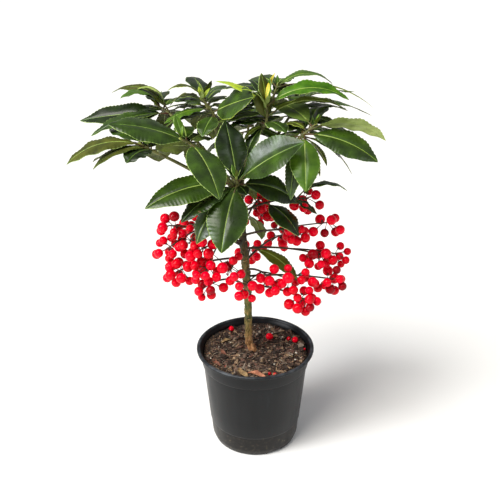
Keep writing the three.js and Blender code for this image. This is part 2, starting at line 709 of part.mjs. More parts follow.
addPart('pot', potSolid(), PLASTIC());
addPart('potting_mix', soilSolid(), MIX());
const BELOW = 40;                // side of the block that cuts the trunk's foot flat
const belowMix = new THREE.BoxGeometry(BELOW, BELOW, BELOW).translate(0, 0, SOIL_TOP + GAP - BELOW / 2);
addPart('trunk', limbSolid(trunkLine, trunkRadii, TRUNK_SIDES).subtract(solidOf(belowMix)), BARK());
const trunkRoom = limbSolid(
  [trunkLine[0], ...trunkLine, trunkLine.at(-1).clone().addScaledVector(UP, GAP)],
  [trunkRadii[0], ...trunkRadii, trunkRadii.at(-1)].map((radius) => radius + GAP), TRUNK_SIDES);

for (const { name, bough, stem, leaves } of shoots) {
  addPart(`bough_${name}`, limbSolid(bough, BOUGH_RADIUS, BOUGH_SIDES).subtract(trunkRoom), GREEN_BARK());
  const shoot = [limbSolid(stem, STEM_RADIUS, STEM_SIDES), ...leaves.map(leafSolid)];
  addPart(`leaves_${name}`, join(shoot), LEAF());
}

for (const { owner, twigs, berries, leaves } of sprays) {
  const limbs = twigs.map((twig, i) => limbSolid(twig, i === 0 ? TWIG_RADIUS : SIDE_TWIG_RADIUS, TWIG_SIDES));
  const whole = join([...limbs, ...berries.map(berrySolid), ...leaves.map(leafSolid)]);
  addPart(owner, whole.subtract(trunkRoom), FRUIT());
}

export default plant;
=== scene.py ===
# A potted coral ardisia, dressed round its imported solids: fine leaves, berries, bark, pot and potting mix.
# Sizes are in millimetres until a mesh is made. +Z is up, +Y points away from the viewer, and the origin
# is the centre of the pot's flat underside. Bearings and rises are in degrees, as in the part's source.
import itertools
import math

import bpy
import numpy as np
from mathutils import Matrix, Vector


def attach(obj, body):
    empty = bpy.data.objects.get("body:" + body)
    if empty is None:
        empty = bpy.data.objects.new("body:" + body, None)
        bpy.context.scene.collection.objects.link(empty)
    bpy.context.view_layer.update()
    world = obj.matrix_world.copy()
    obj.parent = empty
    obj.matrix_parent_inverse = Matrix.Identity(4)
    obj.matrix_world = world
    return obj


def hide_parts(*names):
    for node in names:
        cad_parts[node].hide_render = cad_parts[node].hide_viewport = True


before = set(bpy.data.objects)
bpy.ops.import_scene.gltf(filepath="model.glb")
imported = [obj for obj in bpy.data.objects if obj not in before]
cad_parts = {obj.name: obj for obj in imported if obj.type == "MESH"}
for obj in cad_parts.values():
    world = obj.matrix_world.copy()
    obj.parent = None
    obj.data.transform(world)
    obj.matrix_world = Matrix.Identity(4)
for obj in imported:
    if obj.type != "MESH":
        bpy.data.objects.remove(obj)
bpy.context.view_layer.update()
METRE = 0.001

# Camera and light
CAMERA_PLACE = (-5.4, -657.0, 518.0)
CAMERA_PITCH = 24.8
LENS = 53.86
SENSOR = 36.0
SKY_STRENGTH = 0.33

# Pot and mix, as in the part's source; one of the drain notches faces the bearing given
FOOT_RADIUS = 43.4
FLOOR = 1.8
NOTCHES = 3
NOTCH_BEARING = -62.5
NOTCH_WIDTH = 15.0
NOTCH_HEIGHT = 2.6
SOIL_TOP = 99.5
SOIL_RADIUS = 53.2
SOIL_DROP = 1.6

# Trunk: x, y, height and radius
TRUNK = [
    (-1, 2, 95.5, 6.2), (-2.5, 2.5, 99.5, 5.6), (-4.5, 3.2, 103.5, 5.0), (-7.2, 4, 111, 4.5),
    (-7.8, 4, 130, 4.3), (-7.6, 4, 152, 4.2), (-8.6, 4, 180, 4.1), (-12, 4, 222, 3.7), (-15, 3, 262, 3.1),
    (-17, 1, 288, 2.3),
]
TRUNK_STEPS = 2
CROWN_AXIS = (-15, 3)
FRUIT_AXIS = (-11, 4)
GOLDEN_TURN = 137.5
GOLDEN_SHARE = 0.618034

# Boughs, the stems at their ends and the twigs of the fruit sprays, each an arc in so many steps
GAP = 0.3
BOUGH_RADIUS = (1.9, 1.3)
BOUGH_STEPS = 4
STEM_PULL = 0.4
STEM_STEPS = 3
TWIG_STEPS = 5
SIDE_TWIG_STEPS = 2
SIDE_TWIG_FROM = 0.6
SIDE_TWIG_LIFT = 0.3

# Leaves: the stalk's share of a leaf and its half width, the outline of the blade, and the part of a stem
# that bears leaves
STALK_PART = 0.11
STALK_HALF = 0.6
BLADE_SKEW, BLADE_FULLNESS = 0.93, 0.82
LEAF_STEPS = 14
LEAFY_PART = (0.1, 0.97)

# Spots that keep things clear of each other: how far apart they lie, and how much room each kind keeps
SPOT_PITCH = 3.4
SPOT_STEP = 1.5
STALK_SPOT_STEP = 0.5
BLADE_TEST_FROM = STALK_PART + 0.05
LEAF_CLEAR = 1.3
BOUGH_CLEAR = 2.3
STEM_CLEAR = 1.7
TRUNK_CLEAR = 4.5
TWIG_CLEAR = 1.6
NEAR_TRUNK = 8
NEAR_TRUNK_TWIG = 5

# Umbels: how they hang and spread, their stalks and berries, and how the berries push each other apart
SPRAY_SEEDS = (5000, 131)
UMBEL_LENGTH = 6
UMBEL_FALL = -25
UMBEL_CAP = 1.45
UMBEL_SCATTER = 14
FIRST_STALK = 0.3
BERRY_STALK = (9, 13)
BERRY_STALK_CLEAR = 0.8
BERRY_RADIUS = (3.9, 5.3)
BERRY_SAG = 1.5
BERRY_GAP = 0.3
BERRY_ROOM = 0.2
RELAX_ROUNDS = 40
RELAX_SHARE = 0.7

# Unseen leaves: how they fan out, and how far each strays
FILL_SEED, SHOOT_SEEDS, LEAF_SEEDS = 1000, 679, 31
SIDE_STEPS = ((0, 0), (12, 5), (-12, -5), (22, 12), (-22, -12))
SPARE_TRIES = 16
FILL_START = 0.31
FILL_STRAY = 8
FILL_RISE = (-8, 30)
RISE_STRAY = 6
FILL_DROOP = (50, 44)
DROOP_STRAY = 10
FILL_LENGTH = (1.05, 0.85)
LENGTH_STRAY = (0.9, 1.1)
SLIMNESS = (0.36, 0.44)
ROLL_STRAY = 14

# One shoot a row: name, height on the trunk, hub's bearing, reach and height, lift of the bough, stem's
# bearing, rise and length, the count, length and fan of its unseen leaves, and the leaves that show from the
# front: bearing, rise, droop, length, width, roll, place along the stem, and the tone of the blade
SHOOTS = [
    ("front", 258, -93, 26, 288, 2, -95, 45, 16, 3, 60, (20, 160), [
        (-106, -20, 50, 69, 37, 10, 0.3, "deep+pale"), (118, 76, 24, 55, 31, 0, 0.7, "dark"),
        (-14, 46, 22, 74, 45, -50, 0.5, "deep"), (-163, 14, 44, 88, 36, 22, 0.2, "deep"),
        (-150, 0, 44, 64, 26, 8, 0, "dark"), (-141, -16, 54, 67, 36, 0, 0, "deep+pale"),
        (14, 6, 56, 64, 30, -35, 0.1, "dark")]),
    ("right", 270, -18, 56, 330, 4, 10, 40, 18, 4, 66, (40, 150), [
        (-92, -18, 48, 59, 30, 0, 0.3, "fresh+pale"), (-16, 6, 46, 71, 32, -25, 0.3, "deep"),
        (2, 28, 72, 75, 22, 42, 0.6, "pale"), (16, -14, 50, 66, 18, -10, 0.1, "deep"),
        (-118, -46, 44, 60, 18, 0, 0.2, "deep"), (75, -44, 44, 72, 24, 0, 0, "dark"),
        (44, 0, 60, 66, 26, 0, 0.3, "deep")]),
    ("left", 263.5, -176, 74, 312, 6, 180, 30, 18, 4, 70, (60, 150), [
        (-126, 28, 66, 36, 27, 0, 0.3, "dark"), (-170, 25, 72, 77, 28, 10, 0.8, "olive"),
        (-157, 27, 80, 60, 22, 0, 0.4, "olive"), (165, 10, 48, 70, 26, 0, 0.1, "fresh")]),
    ("front_left", 267, -143, 49, 326, 6, -140, 35, 16, 4, 60, (60, 150), [
        (-171, 32, 30, 74, 34, 22, 0.2, "deep"), (-62, 0, 58, 70, 34, 6, 0.4, "deep+pale"),
        (160, 0, 20, 38, 20, -62, 0, "olive")]),
    ("top_left", 272, 155, 70, 338, 6, 160, 30, 18, 4, 64, (20, 120), [
        (172, 1, 14, 88, 28, 32, 0.1, "dark"), (-172, 6, 40, 78, 22, 8, 0.1, "deep"),
        (163, 66, 102, 70, 26, 0, 0.05, "olive"), (-152, 76, 118, 46, 22, 0, 0.9, "fresh"),
        (148, 12, 44, 74, 28, 0, 0.2, "deep")]),
    ("top_middle", 279, 160, 24, 342, -12, 180, 56, 20, 4, 52, (60, 190), [
        (-34, 30, 12, 50, 38, -38, 0.2, "deep+lime"), (-16, 28, 30, 40, 20, -10, 0, "deep"),
        (-170, 10, 50, 46, 22, 0, 0.4, "fresh"), (-105, 0, 40, 34, 20, 0, 0, "deep"),
        (178, 44, 104, 36, 18, 0, 0.9, "olive")]),
    ("top", 288, -10, 22, 336, 8, 60, 75, 20, 4, 54, (60, 200), [
        (-2, 44, 74, 74, 24, 24, 0.5, "moss+lime"), (125, 76, 4, 31, 21, 0, 0.3, "olive"),
        (128, 80, 12, 29, 13, 0, 1, "olive"), (20, 76, -14, 26, 13, 0, 1, "bright"),
        (-60, 24, 50, 36, 20, 0, 0.2, "deep"), (6, 45, 82, 81, 28, -20, 0.95, "bright")]),
    ("top_right", 276, 32, 34, 354, 8, 30, 65, 16, 5, 62, (40, 150), [
        (17, 48, 94, 62, 22, 0, 0.8, "fresh"),
        (18, 4, 34, 106, 20, 0, 0.1, "fresh")]),
    ("back_left", 266.5, 118, 60, 330, 6, 125, 50, 24, 8, 64, (30, 250), []),
    ("back_right", 262.5, 48, 68, 328, 6, 45, 50, 24, 9, 66, (-50, 160), []),
    ("back", 257, 84, 68, 308, 6, 85, 40, 24, 9, 64, (-20, 190), []),
]

# One fruit spray a row: name, height on the trunk, lift of the twig, its umbels (bearing, reach, height and
# berries) and its leaves
SPRAYS = [
    ("left_high", 216, 12, [(-171, 71, 243, 7), (-167, 75, 221, 6), (-157, 56, 229, 6)], []),
    ("left_low", 204, 8, [(-155, 69, 204, 10), (-164, 50, 206, 4)], []),
    ("front_left", 222, 6, [(-136, 54, 231, 10), (-127, 57, 213, 8)], []),
    ("front_low", 172, 16, [(-126, 57, 197, 5)], []),
    ("front", 206, 10, [(-105, 47, 213, 9)], []),
    ("front_right", 191, 10, [(-54, 46, 198, 8), (-40, 57, 198, 6), (-88, 44, 197, 5)], []),
    ("right_low", 174, 8, [(-34, 69, 179, 11)], []),
    ("right", 184, 6, [(-8, 87, 187, 11), (-18, 63, 200, 3)], []),
    ("right_middle", 214, 8, [(-2, 74, 209, 9), (3, 92, 206, 3)], [(-38, 0, 57, 58, 18, -20, 0, "moss")]),
    ("right_high", 228, 6, [(-10, 50, 237, 10), (6, 83, 238, 5)], []),
    ("right_top", 252, 10, [(10, 62, 262, 8)], [
        (10, 62, 108, 58, 13, 0, 0.85, "deep"), (-28, -4, 40, 30, 15, 0, 0.75, "dark"),
        (-45, 4, 62, 50, 28, 0, 0.3, "dark")]),
    ("inner", 234, 8, [(54, 24, 258, 8), (60, 36, 238, 4)], [(50, -30, 56, 40, 20, 0, 0.3, "deep")]),
    ("back", 210, 10, [(100, 62, 226, 6)], []),
    ("back_left", 218, 10, [(141, 66, 222, 7)], [(150, 10, 50, 52, 20, 0, 0.5, "deep")]),
    ("back_right", 200, 10, [(50, 62, 208, 6)], []),
    ("back_low", 184, 10, [(84, 50, 192, 6)], []),
]

UP = np.array([0.0, 0.0, 1.0])


# Evenly spread numbers that start again from the same seed every time
class Dice:
    def __init__(self, seed):
        self.state = seed
        self.roll()
        self.roll()

    def roll(self, low=0.0, high=1.0):
        self.state = (self.state * 16807) % 2147483647
        return low + (high - low) * (self.state / 2147483647)


# Each host with dice of its own
def with_dice(hosts, seed, step):
    return [(host, Dice(seed + step * k)) for k, host in enumerate(hosts)]


def mix(low, high, share):
    return low + (high - low) * share


def unit(vector):
    return vector / np.linalg.norm(vector)


def direction(bearing, rise):
    b = math.radians(bearing)
    r = math.radians(rise)
    return np.array([math.cos(r) * math.cos(b), math.cos(r) * math.sin(b), math.sin(r)])


def around(axis, bearing, reach, height):
    b = math.radians(bearing)
    return np.array([axis[0] + reach * math.cos(b), axis[1] + reach * math.sin(b), height])


def arc(start, lean, end, steps):
    t = np.linspace(0, 1, steps + 1)[:, None]
    return (1 - t) ** 2 * start + 2 * (1 - t) * t * lean + t ** 2 * end


def along(points, share):
    at = share * (len(points) - 1)
    i = min(int(math.floor(at)), len(points) - 2)
    return mix(points[i], points[i + 1], at - i)


# A smooth curve through the trunk's places, with so many steps between two of them
def trunk_curve(steps):
    places = np.array(TRUNK, float)
    before = np.vstack([2 * places[0] - places[1], places[:-1]])
    after = np.vstack([places[1:], 2 * places[-1] - places[-2]])
    rows = []
    for i in range((len(places) - 1) * steps + 1):
        k = min(i // steps, len(places) - 2)
        t = i / steps - k
        start, end = places[k], places[k + 1]
        pull_in, pull_out = 0.5 * (end - before[k]), 0.5 * (after[k + 1] - start)
        bend = -3 * start + 3 * end - 2 * pull_in - pull_out
        turn = 2 * start - 2 * end + pull_in + pull_out
        rows.append(start + pull_in * t + bend * t * t + turn * t ** 3)
    return np.array(rows)


trunk_line = trunk_curve(TRUNK_STEPS)[:, :3]


def trunk_at(height):
    for low, high in zip(trunk_line, trunk_line[1:]):
        if high[2] >= height:
            return mix(low, high, (height - low[2]) / (high[2] - low[2]))
    return trunk_line[-1]


def leaf_line(root, leaf, steps=LEAF_STEPS, sway=0.0):
    bearing, rise, droop, length = leaf[:4]
    points = [root]
    for i in range(steps):
        share = (i + 0.5) / steps
        ahead = direction(bearing + sway * share, rise - droop * share)
        points.append(points[-1] + ahead * (length / steps))
    return np.array(points)


def leaf_frame(leaf, share, twist=0.0):
    ahead = direction(leaf[0], leaf[1] - leaf[2] * share)
    side = unit(np.cross(ahead, UP))
    up = np.cross(side, ahead)
    r = math.radians(leaf[5] + twist)
    return side * math.cos(r) + up * math.sin(r), up * math.cos(r) - side * math.sin(r)


def blade_half(width, blade):
    return 0.5 * width * np.maximum(0, np.sin(math.pi * blade ** BLADE_SKEW)) ** BLADE_FULLNESS


def leaf_half_width(width, share):
    if share <= STALK_PART:
        return STALK_HALF
    half = blade_half(width, (share - STALK_PART) / (1 - STALK_PART))
    return 0.0 if share == 1 else max(half, STALK_HALF)


# Clearance is tested on spots: balls of one radius at places on a limb, a blade or a berry
class Group:
    def __init__(self, owner, places, radius):
        self.owner = owner
        self.places = np.array(places, float)
        self.radius = radius
        self.low = self.places.min(0) - radius
        self.high = self.places.max(0) + radius


def touching(group, others, spare_owner=None):
    found = 0
    for other in others:
        if other.owner == spare_owner or np.any(group.low > other.high) or np.any(group.high < other.low):
            continue
        apart = ((group.places[:, None] - other.places[None]) ** 2).sum(2)
        found += int((apart < (group.radius + other.radius) ** 2).any(1).sum())
    return found


def spots_along(points, step):
    places = []
    for a, b in zip(points, points[1:]):
        count = max(1, math.ceil(np.linalg.norm(b - a) / step))
        places += [mix(a, b, k / count) for k in range(count)]
    return places + [points[-1]]


def blade_spots(line, leaf):
    length, width = leaf[3:5]
    rows = max(4, math.floor(length * (1 - STALK_PART) / SPOT_PITCH))
    places = []
    for i in range(rows + 1):
        share = mix(BLADE_TEST_FROM, 1, i / rows)
        middle = along(line, share)
        side = leaf_frame(leaf, share)[0]
        half = leaf_half_width(width, share)
        count = max(1, math.ceil(half / SPOT_PITCH))
        places += [middle + side * (half * k / count) for k in range(-count, count + 1)]
    return places


taken = []


# Gives a shoot or a spray a leaf if there is room for it; a leaf that shows may touch its own host
def grow(host, leaf, shows, clear=LEAF_CLEAR, allowed=0):
    root = along(host["stem"], mix(*LEAFY_PART, leaf[6]))
    group = Group(host["owner"], blade_spots(leaf_line(root, leaf), leaf), clear)
    if touching(group, taken, host["owner"] if shows else None) > allowed:
        return False
    taken.append(group)
    host["leaves"].append({"root": root, "leaf": leaf[:7], "tone": leaf[7] if len(leaf) > 7 else None})
    return True


late_leaves = []


def grow_seen(host):
    for leaf in host["seen"]:
        if not grow(host, leaf, True):
            late_leaves.append((host, leaf))


# Limbs of every shoot, then the leaves that show from the front
taken.append(Group("trunk", spots_along(trunk_line, SPOT_PITCH), TRUNK_CLEAR))
shoots = []
for row in SHOOTS:
    name, from_height, bearing, reach, height, lift, stem_bearing, stem_rise, stem_length = row[:9]
    start = trunk_at(from_height)
    hub = around(CROWN_AXIS, bearing, reach, height)
    lean = 0.5 * (start + hub) + UP * lift
    ahead = unit(hub - lean)
    tip = hub + direction(stem_bearing, stem_rise) * stem_length
    stem_curve = (hub + ahead * GAP, hub + ahead * (STEM_PULL * stem_length), tip)
    shoot = {"name": name, "owner": name, "unseen": row[9:12], "seen": row[12], "leaves": [],
             "bough": (start, lean, hub), "stem_curve": stem_curve, "stem": arc(*stem_curve, STEM_STEPS)}
    coarse = arc(start, lean, hub, BOUGH_STEPS)
    taken.append(Group(name, spots_along(coarse, SPOT_STEP)[NEAR_TRUNK:], BOUGH_CLEAR))
    taken.append(Group(name, spots_along(shoot["stem"], SPOT_STEP), STEM_CLEAR))
    shoots.append(shoot)
for shoot in shoots:
    grow_seen(shoot)


def umbel_directions(count, axis, dice):
    side = unit(np.cross(axis, UP))
    up = np.cross(side, axis)
    ways = []
    for i in range(count):
        height = 1 - UMBEL_CAP * (i + 0.5) / count
        turn = math.radians(GOLDEN_TURN * i + dice.roll(-UMBEL_SCATTER, UMBEL_SCATTER))
        radius = math.sqrt(max(0.0, 1 - height * height))
        ways.append(axis * height + side * (radius * math.cos(turn)) + up * (radius * math.sin(turn)))
    return ways


# Twigs of every spray and the first places of its berries
sprays = []
for (name, height, lift, umbels, seen), dice in with_dice(SPRAYS, *SPRAY_SEEDS):
    twigs, curves, berries = [], [], []
    for j, (bearing, reach, rise, count) in enumerate(umbels):
        hub = around(FRUIT_AXIS, bearing, reach, rise)
        start = trunk_at(height) if j == 0 else along(twigs[0], SIDE_TWIG_FROM)
        lean = 0.5 * (start + hub) + UP * (lift if j == 0 else SIDE_TWIG_LIFT * lift)
        twigs.append(arc(start, lean, hub, TWIG_STEPS if j == 0 else SIDE_TWIG_STEPS))
        curves.append((start, lean, hub))
        back = unit(lean - hub)
        for i, way in enumerate(umbel_directions(count, direction(bearing, UMBEL_FALL), dice)):
            root = hub + back * (UMBEL_LENGTH * (i + FIRST_STALK) / count)
            place = root + way * dice.roll(*BERRY_STALK) - UP * BERRY_SAG
            berries.append({"root": root, "place": place, "radius": dice.roll(*BERRY_RADIUS), "bare": False})
    sprays.append({"name": name, "owner": "fruit_" + name, "umbels": umbels, "seen": seen, "leaves": [],
                   "stem": twigs[0], "twigs": twigs, "curves": curves, "berries": berries})
twig_groups = [Group(spray["owner"], spots_along(twig, SPOT_STEP)[NEAR_TRUNK_TWIG:], TWIG_CLEAR)
               for spray in sprays for twig in spray["twigs"]]
taken += twig_groups
for spray in sprays:
    grow_seen(spray)


# Berries push each other apart and keep off the trunk, the twigs and each other's stalks
def push_apart(berries):
    roots = np.array([berry["root"] for berry in berries])
    places = np.array([berry["place"] for berry in berries])
    radii = np.array([berry["radius"] for berry in berries])
    keep_off = [taken[0]] + twig_groups
    others = 1 - np.eye(len(berries))
    for _ in range(RELAX_ROUNDS):
        away = places[:, None] - places[None]
        apart = np.linalg.norm(away, axis=2) + np.eye(len(berries))
        short = 0.5 * np.maximum(0, radii[:, None] + radii[None] + BERRY_GAP - apart) / apart * others
        moves = (away * short[:, :, None]).sum(1)
        stalks = places - roots
        share = ((places[:, None] - roots[None]) * stalks[None]).sum(2) / (stalks ** 2).sum(1)[None]
        share = np.clip(share, 0, 1)
        away = places[:, None] - (roots[None] + stalks[None] * share[:, :, None])
        apart = np.maximum(np.linalg.norm(away, axis=2), 1e-9)
        short = 0.5 * np.maximum(0, radii[:, None] + BERRY_STALK_CLEAR - apart) / apart * others
        pushed = away * short[:, :, None]
        moves += pushed.sum(1) - (pushed * share[:, :, None]).sum(0)
        for group in keep_off:
            away = places[:, None] - group.places[None]
            apart = np.maximum(np.linalg.norm(away, axis=2), 1e-9)
            beyond = np.maximum(np.maximum(group.low[None] - places, places - group.high[None]), 0)
            near = np.linalg.norm(beyond, axis=1) < radii
            short = np.maximum(0, radii[:, None] + group.radius - apart) / apart * near[:, None]
            moves += (away * short[:, :, None]).sum(1)
        places = places + moves * RELAX_SHARE
    for berry, place in zip(berries, places):
        berry["place"] = place


# The ball of a berry and its stalk, for the test
def berry_groups(owner, berry, room, stalk_clear):
    line = [berry["root"], berry["place"]]
    return [Group(owner, [berry["place"]], berry["radius"] + room),
            Group(owner, spots_along(line, STALK_SPOT_STEP), stalk_clear)]


push_apart([berry for spray in sprays for berry in spray["berries"]])
for spray in sprays:
    for berry in spray["berries"]:
        groups = berry_groups(spray["owner"], berry, BERRY_ROOM, BERRY_STALK_CLEAR)
        berry["bare"] = any(touching(group, taken, spray["owner"]) for group in groups)
        if not berry["bare"]:
            taken += groups
    spray["bare_stalks"] = [berry for berry in spray["berries"] if berry["bare"]]
    spray["berries"] = [berry for berry in spray["berries"] if not berry["bare"]]

# The unseen leaves fan out round each stem
for k, shoot in enumerate(shoots):
    count, usual, (first, last) = shoot["unseen"]
    grown = 0
    i = 0
    while grown < count and i < count + SPARE_TRIES:
        share = (grown + 0.5) / count
        dice = Dice(FILL_SEED + SHOOT_SEEDS * k + LEAF_SEEDS * i)
        bearing = mix(first, last, (FILL_START + GOLDEN_SHARE * i) % 1) + dice.roll(-FILL_STRAY, FILL_STRAY)
        rise = mix(*FILL_RISE, share) + dice.roll(-RISE_STRAY, RISE_STRAY)
        droop = mix(*FILL_DROOP, share) + dice.roll(-DROOP_STRAY, DROOP_STRAY)
        length = usual * mix(*FILL_LENGTH, share) * dice.roll(*LENGTH_STRAY)
        width = length * dice.roll(*SLIMNESS)
        roll = dice.roll(-ROLL_STRAY, ROLL_STRAY)
        grown += any(grow(shoot, (bearing + turn, rise + lift, droop, length, width, roll, share), False)
                     for turn, lift in SIDE_STEPS)
        i += 1

# Young leaves that stand up round each bud, and the smaller ones of the bud: how many, their seeds, the turn
# from shoot to shoot, their length, rise, droop and slimness, and their place along the stem
YOUNG = (1, 9000, 77, 40, (15, 23), (48, 72), (0, 24), 0.42, 0.96)
BUDS = (3, 7000, 57, 25, (9, 15), (50, 84), (-10, 30), 0.38, 1)
LIME_SHOOTS = ("top", "top_middle")


def grow_young(kind, *how):
    count, seed, seeds, turn, lengths, rises, droops, slimness, place = kind
    for k, shoot in enumerate(shoots):
        dice = Dice(seed + seeds * k)
        tone = "lime" if shoot["name"] in LIME_SHOOTS else "fresh"
        for i in range(count):
            length, rise, droop = dice.roll(*lengths), dice.roll(*rises), dice.roll(*droops)
            bearing = GOLDEN_TURN * i + turn * k
            grow(shoot, (bearing, rise, droop, length, slimness * length, 0, place, tone), *how)


grow_young(YOUNG, False)

# The scene's finer growth starts here, with the leaves that the coarse solids had no room for
FINE_CLEAR = 0.55
NUDGES = ((0, 0, 0), (5, 3, 0), (-5, -3, 0), (0, 7, 8), (0, -7, -8), (10, 5, 12), (-10, -5, -12))
LATE_TOUCHES = 4
FINE_TOUCHES = 12
for host, leaf in late_leaves:
    for turn, lift, twist in NUDGES:
        moved = (leaf[0] + turn, leaf[1] + lift, *leaf[2:5], leaf[5] + twist, *leaf[6:])
        if grow(host, moved, True, FINE_CLEAR, LATE_TOUCHES):
            break

# Small and curled leaves that show between the large ones: shoot, place along its stem, the tip's place,
# droop, width, roll and tone
FINE_LEAVES = [
    ("top_middle", 1, (-53, 10, 376), 70, 9, 0, "lime"),
    ("top_middle", 0.95, (-79, 5, 368), 116, 15, 0, "olive+lime"),
    ("top_middle", 0.8, (-66, 20, 345), 120, 10, 0, "olive"),
    ("top_middle", 0.2, (-52, 20, 322), 60, 20, 0, "dark"),
    ("top", 0.75, (-38, 18, 373), 60, 15, 0, "lime"),
    ("top", 0.9, (-9, 32, 371), 96, 12, 0, "dark"),
    ("top", 1, (17, 8, 383), 50, 7, 0, "yellow"),
    ("top", 0.6, (-13, -8, 372), 90, 7, 0, "lime"),
    ("top", 0.1, (14, 34, 336), 50, 22, 0, "dark"),
    ("top", 0.1, (-22, 26, 330), 60, 20, 0, "dark"),
    ("right", 0.5, (22, 6, 335), 84, 15, 0, "olive+lime"),
    ("right", 0.05, (68, 12, 295), 40, 9, 0, "dark"),
    ("right", 0.1, (60, 2, 288), 40, 8, 0, "dark"),
    ("right", 0.2, (34, 30, 330), 60, 20, 0, "deep"),
    ("top_left", 0.6, (-112, 34, 361), 150, 11, 0, "pale"),
    ("top_right", 0.9, (108, 16, 349), 60, 6, 0, "olive+lime"),
    ("front_left", 0.1, (-82, 6, 318), 60, 22, 0, "dark"),
    ("front", 0.1, (-8, -32, 283), 40, 16, 0, "dark"),
    ("front", 0.0, (-26, -34, 283), 40, 14, 0, "dark"),
    ("front", 0.5, (-22, -17, 318), 20, 17, 0, "dark"),
    ("front", 0.5, (-1, -18, 306), 30, 18, 0, "dark"),
    ("top", 0.0, (-11, -7, 325), 70, 12, 0, "olive"),
    ("top", 0.0, (-8, -14, 311), 60, 15, 0, "dark"),
    ("right", 0.0, (2, -6, 316), 50, 17, 0, "dark"),
]
for name, place, tip, droop, width, roll, tone in FINE_LEAVES:
    shoot = next(one for one in shoots if one["name"] == name)
    reach = np.array(tip, float) - along(shoot["stem"], mix(*LEAFY_PART, place))
    chord = float(np.linalg.norm(reach))
    half_bend = math.radians(0.5 * droop)
    bearing = math.degrees(math.atan2(reach[1], reach[0]))
    rise = math.degrees(math.asin(reach[2] / chord)) + 0.5 * droop
    length = chord * half_bend / math.sin(half_bend)
    grow(shoot, (bearing, rise, droop, length, width, roll, place, tone), True, FINE_CLEAR, FINE_TOUCHES)

# More berries where an umbel has room for them
MORE_SEEDS = (8000, 71)
MORE_BERRIES = 3
MORE_TRIES = 26
MORE_RISE = (-80, 50)
MORE_STALK = (8, 16)
MORE_RADIUS = (3.7, 5.0)
MORE_ROOM = 0.1
MORE_STALK_CLEAR = 0.4
OUTWARD_SHARE = 0.8
for spray, dice in with_dice(sprays, *MORE_SEEDS):
    for (_, lean, hub), (bearing, _, _, _) in zip(spray["curves"], spray["umbels"]):
        outward = direction(bearing, UMBEL_FALL)
        back = unit(lean - hub)
        grown = 0
        for _ in range(MORE_TRIES):
            way = unit(OUTWARD_SHARE * outward + direction(dice.roll(0, 360), dice.roll(*MORE_RISE)))
            root = hub + back * dice.roll(0.5, UMBEL_LENGTH)
            radius = dice.roll(*MORE_RADIUS)
            place = root + way * dice.roll(*MORE_STALK)
            berry = {"root": root, "place": place, "radius": radius, "bare": False}
            groups = berry_groups(spray["owner"], berry, MORE_ROOM, MORE_STALK_CLEAR)
            own = [Group("own", [one["place"]], one["radius"]) for one in spray["berries"]]
            found = any(touching(one, own) or touching(one, taken, spray["owner"]) for one in groups)
            if grown < MORE_BERRIES and not found:
                grown += 1
                taken += groups
                spray["berries"].append(berry)

# More unseen leaves where the crown has room for them, and last the buds' own
EXTRA_SEEDS = (3000, 211)
EXTRA_CLEAR = 0.9
EXTRA_LEAVES = 9
EXTRA_TRIES = 60
EXTRA_PLACE = (0.05, 0.95)
EXTRA_START = 0.5
EXTRA_LENGTH = (1.0, 0.62)
EXTRA_STRAY = (0.8, 1.0)
EXTRA_RISE = (-24, 44)
EXTRA_DROOP = (36, 58)
EXTRA_SLIMNESS = (0.34, 0.42)
EXTRA_ROLL = (-20, 20)
for shoot, dice in with_dice(shoots, *EXTRA_SEEDS):
    _, usual, (first, last) = shoot["unseen"]
    grown = 0
    for i in range(EXTRA_TRIES):
        share = dice.roll(*EXTRA_PLACE)
        bearing = mix(first, last, (EXTRA_START + GOLDEN_SHARE * i) % 1)
        length = usual * mix(*EXTRA_LENGTH, share) * dice.roll(*EXTRA_STRAY)
        rise, droop = dice.roll(*EXTRA_RISE), dice.roll(*EXTRA_DROOP)
        width, roll = length * dice.roll(*EXTRA_SLIMNESS), dice.roll(*EXTRA_ROLL)
        leaf = (bearing, rise, droop, length, width, roll, share)
        if grown < EXTRA_LEAVES and grow(shoot, leaf, False, EXTRA_CLEAR):
            grown += 1
grow_young(BUDS, True, FINE_CLEAR, LATE_TOUCHES)


# Faces of one kind of thing, gathered piece by piece, each with the number of its finish
class Heap:
    def __init__(self):
        self.places = []
        self.faces = []
        self.marks = []
        self.count = 0

    def add(self, places, faces):
        for rows, mark in faces:
            rows = np.asarray(rows, np.int64)
            self.faces.append(rows + self.count)
            self.marks.append(np.broadcast_to(mark, len(rows)))
        self.places.append(np.asarray(places, float))
        self.count += len(places)


def joined(name, heap, finishes, nodes=(), smooth=True):
    mesh = bpy.data.meshes.new(name)
    places = np.vstack(heap.places) * METRE
    sizes = np.concatenate([np.full(len(rows), rows.shape[1]) for rows in heap.faces])
    corners = np.concatenate([rows.ravel() for rows in heap.faces])
    mesh.vertices.add(len(places))
    mesh.vertices.foreach_set("co", places.astype(np.float32).ravel())
    mesh.loops.add(len(corners))
    mesh.loops.foreach_set("vertex_index", corners.astype(np.int32))
    mesh.polygons.add(len(sizes))
    mesh.polygons.foreach_set("loop_start", (np.cumsum(sizes) - sizes).astype(np.int32))
    for finish in finishes:
        mesh.materials.append(finish)
    mesh.polygons.foreach_set("material_index", np.concatenate(heap.marks).astype(np.int32))
    mesh.polygons.foreach_set("use_smooth", np.full(len(sizes), smooth))
    mesh.update(calc_edges=True)
    mesh.validate()
    piece = bpy.data.objects.new(name, mesh)
    bpy.context.scene.collection.objects.link(piece)
    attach(piece, "root")
    if nodes:
        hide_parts(*nodes)


# Quads between rows of a grid of places; a closed grid joins its last column to its first
def grid_faces(rows, columns, closed):
    i = np.arange(columns if closed else columns - 1)
    j = np.arange(rows - 1)[:, None]
    a = j * columns + i
    b = j * columns + (i + 1) % columns
    return np.stack([a, b, b + columns, a + columns], 2)


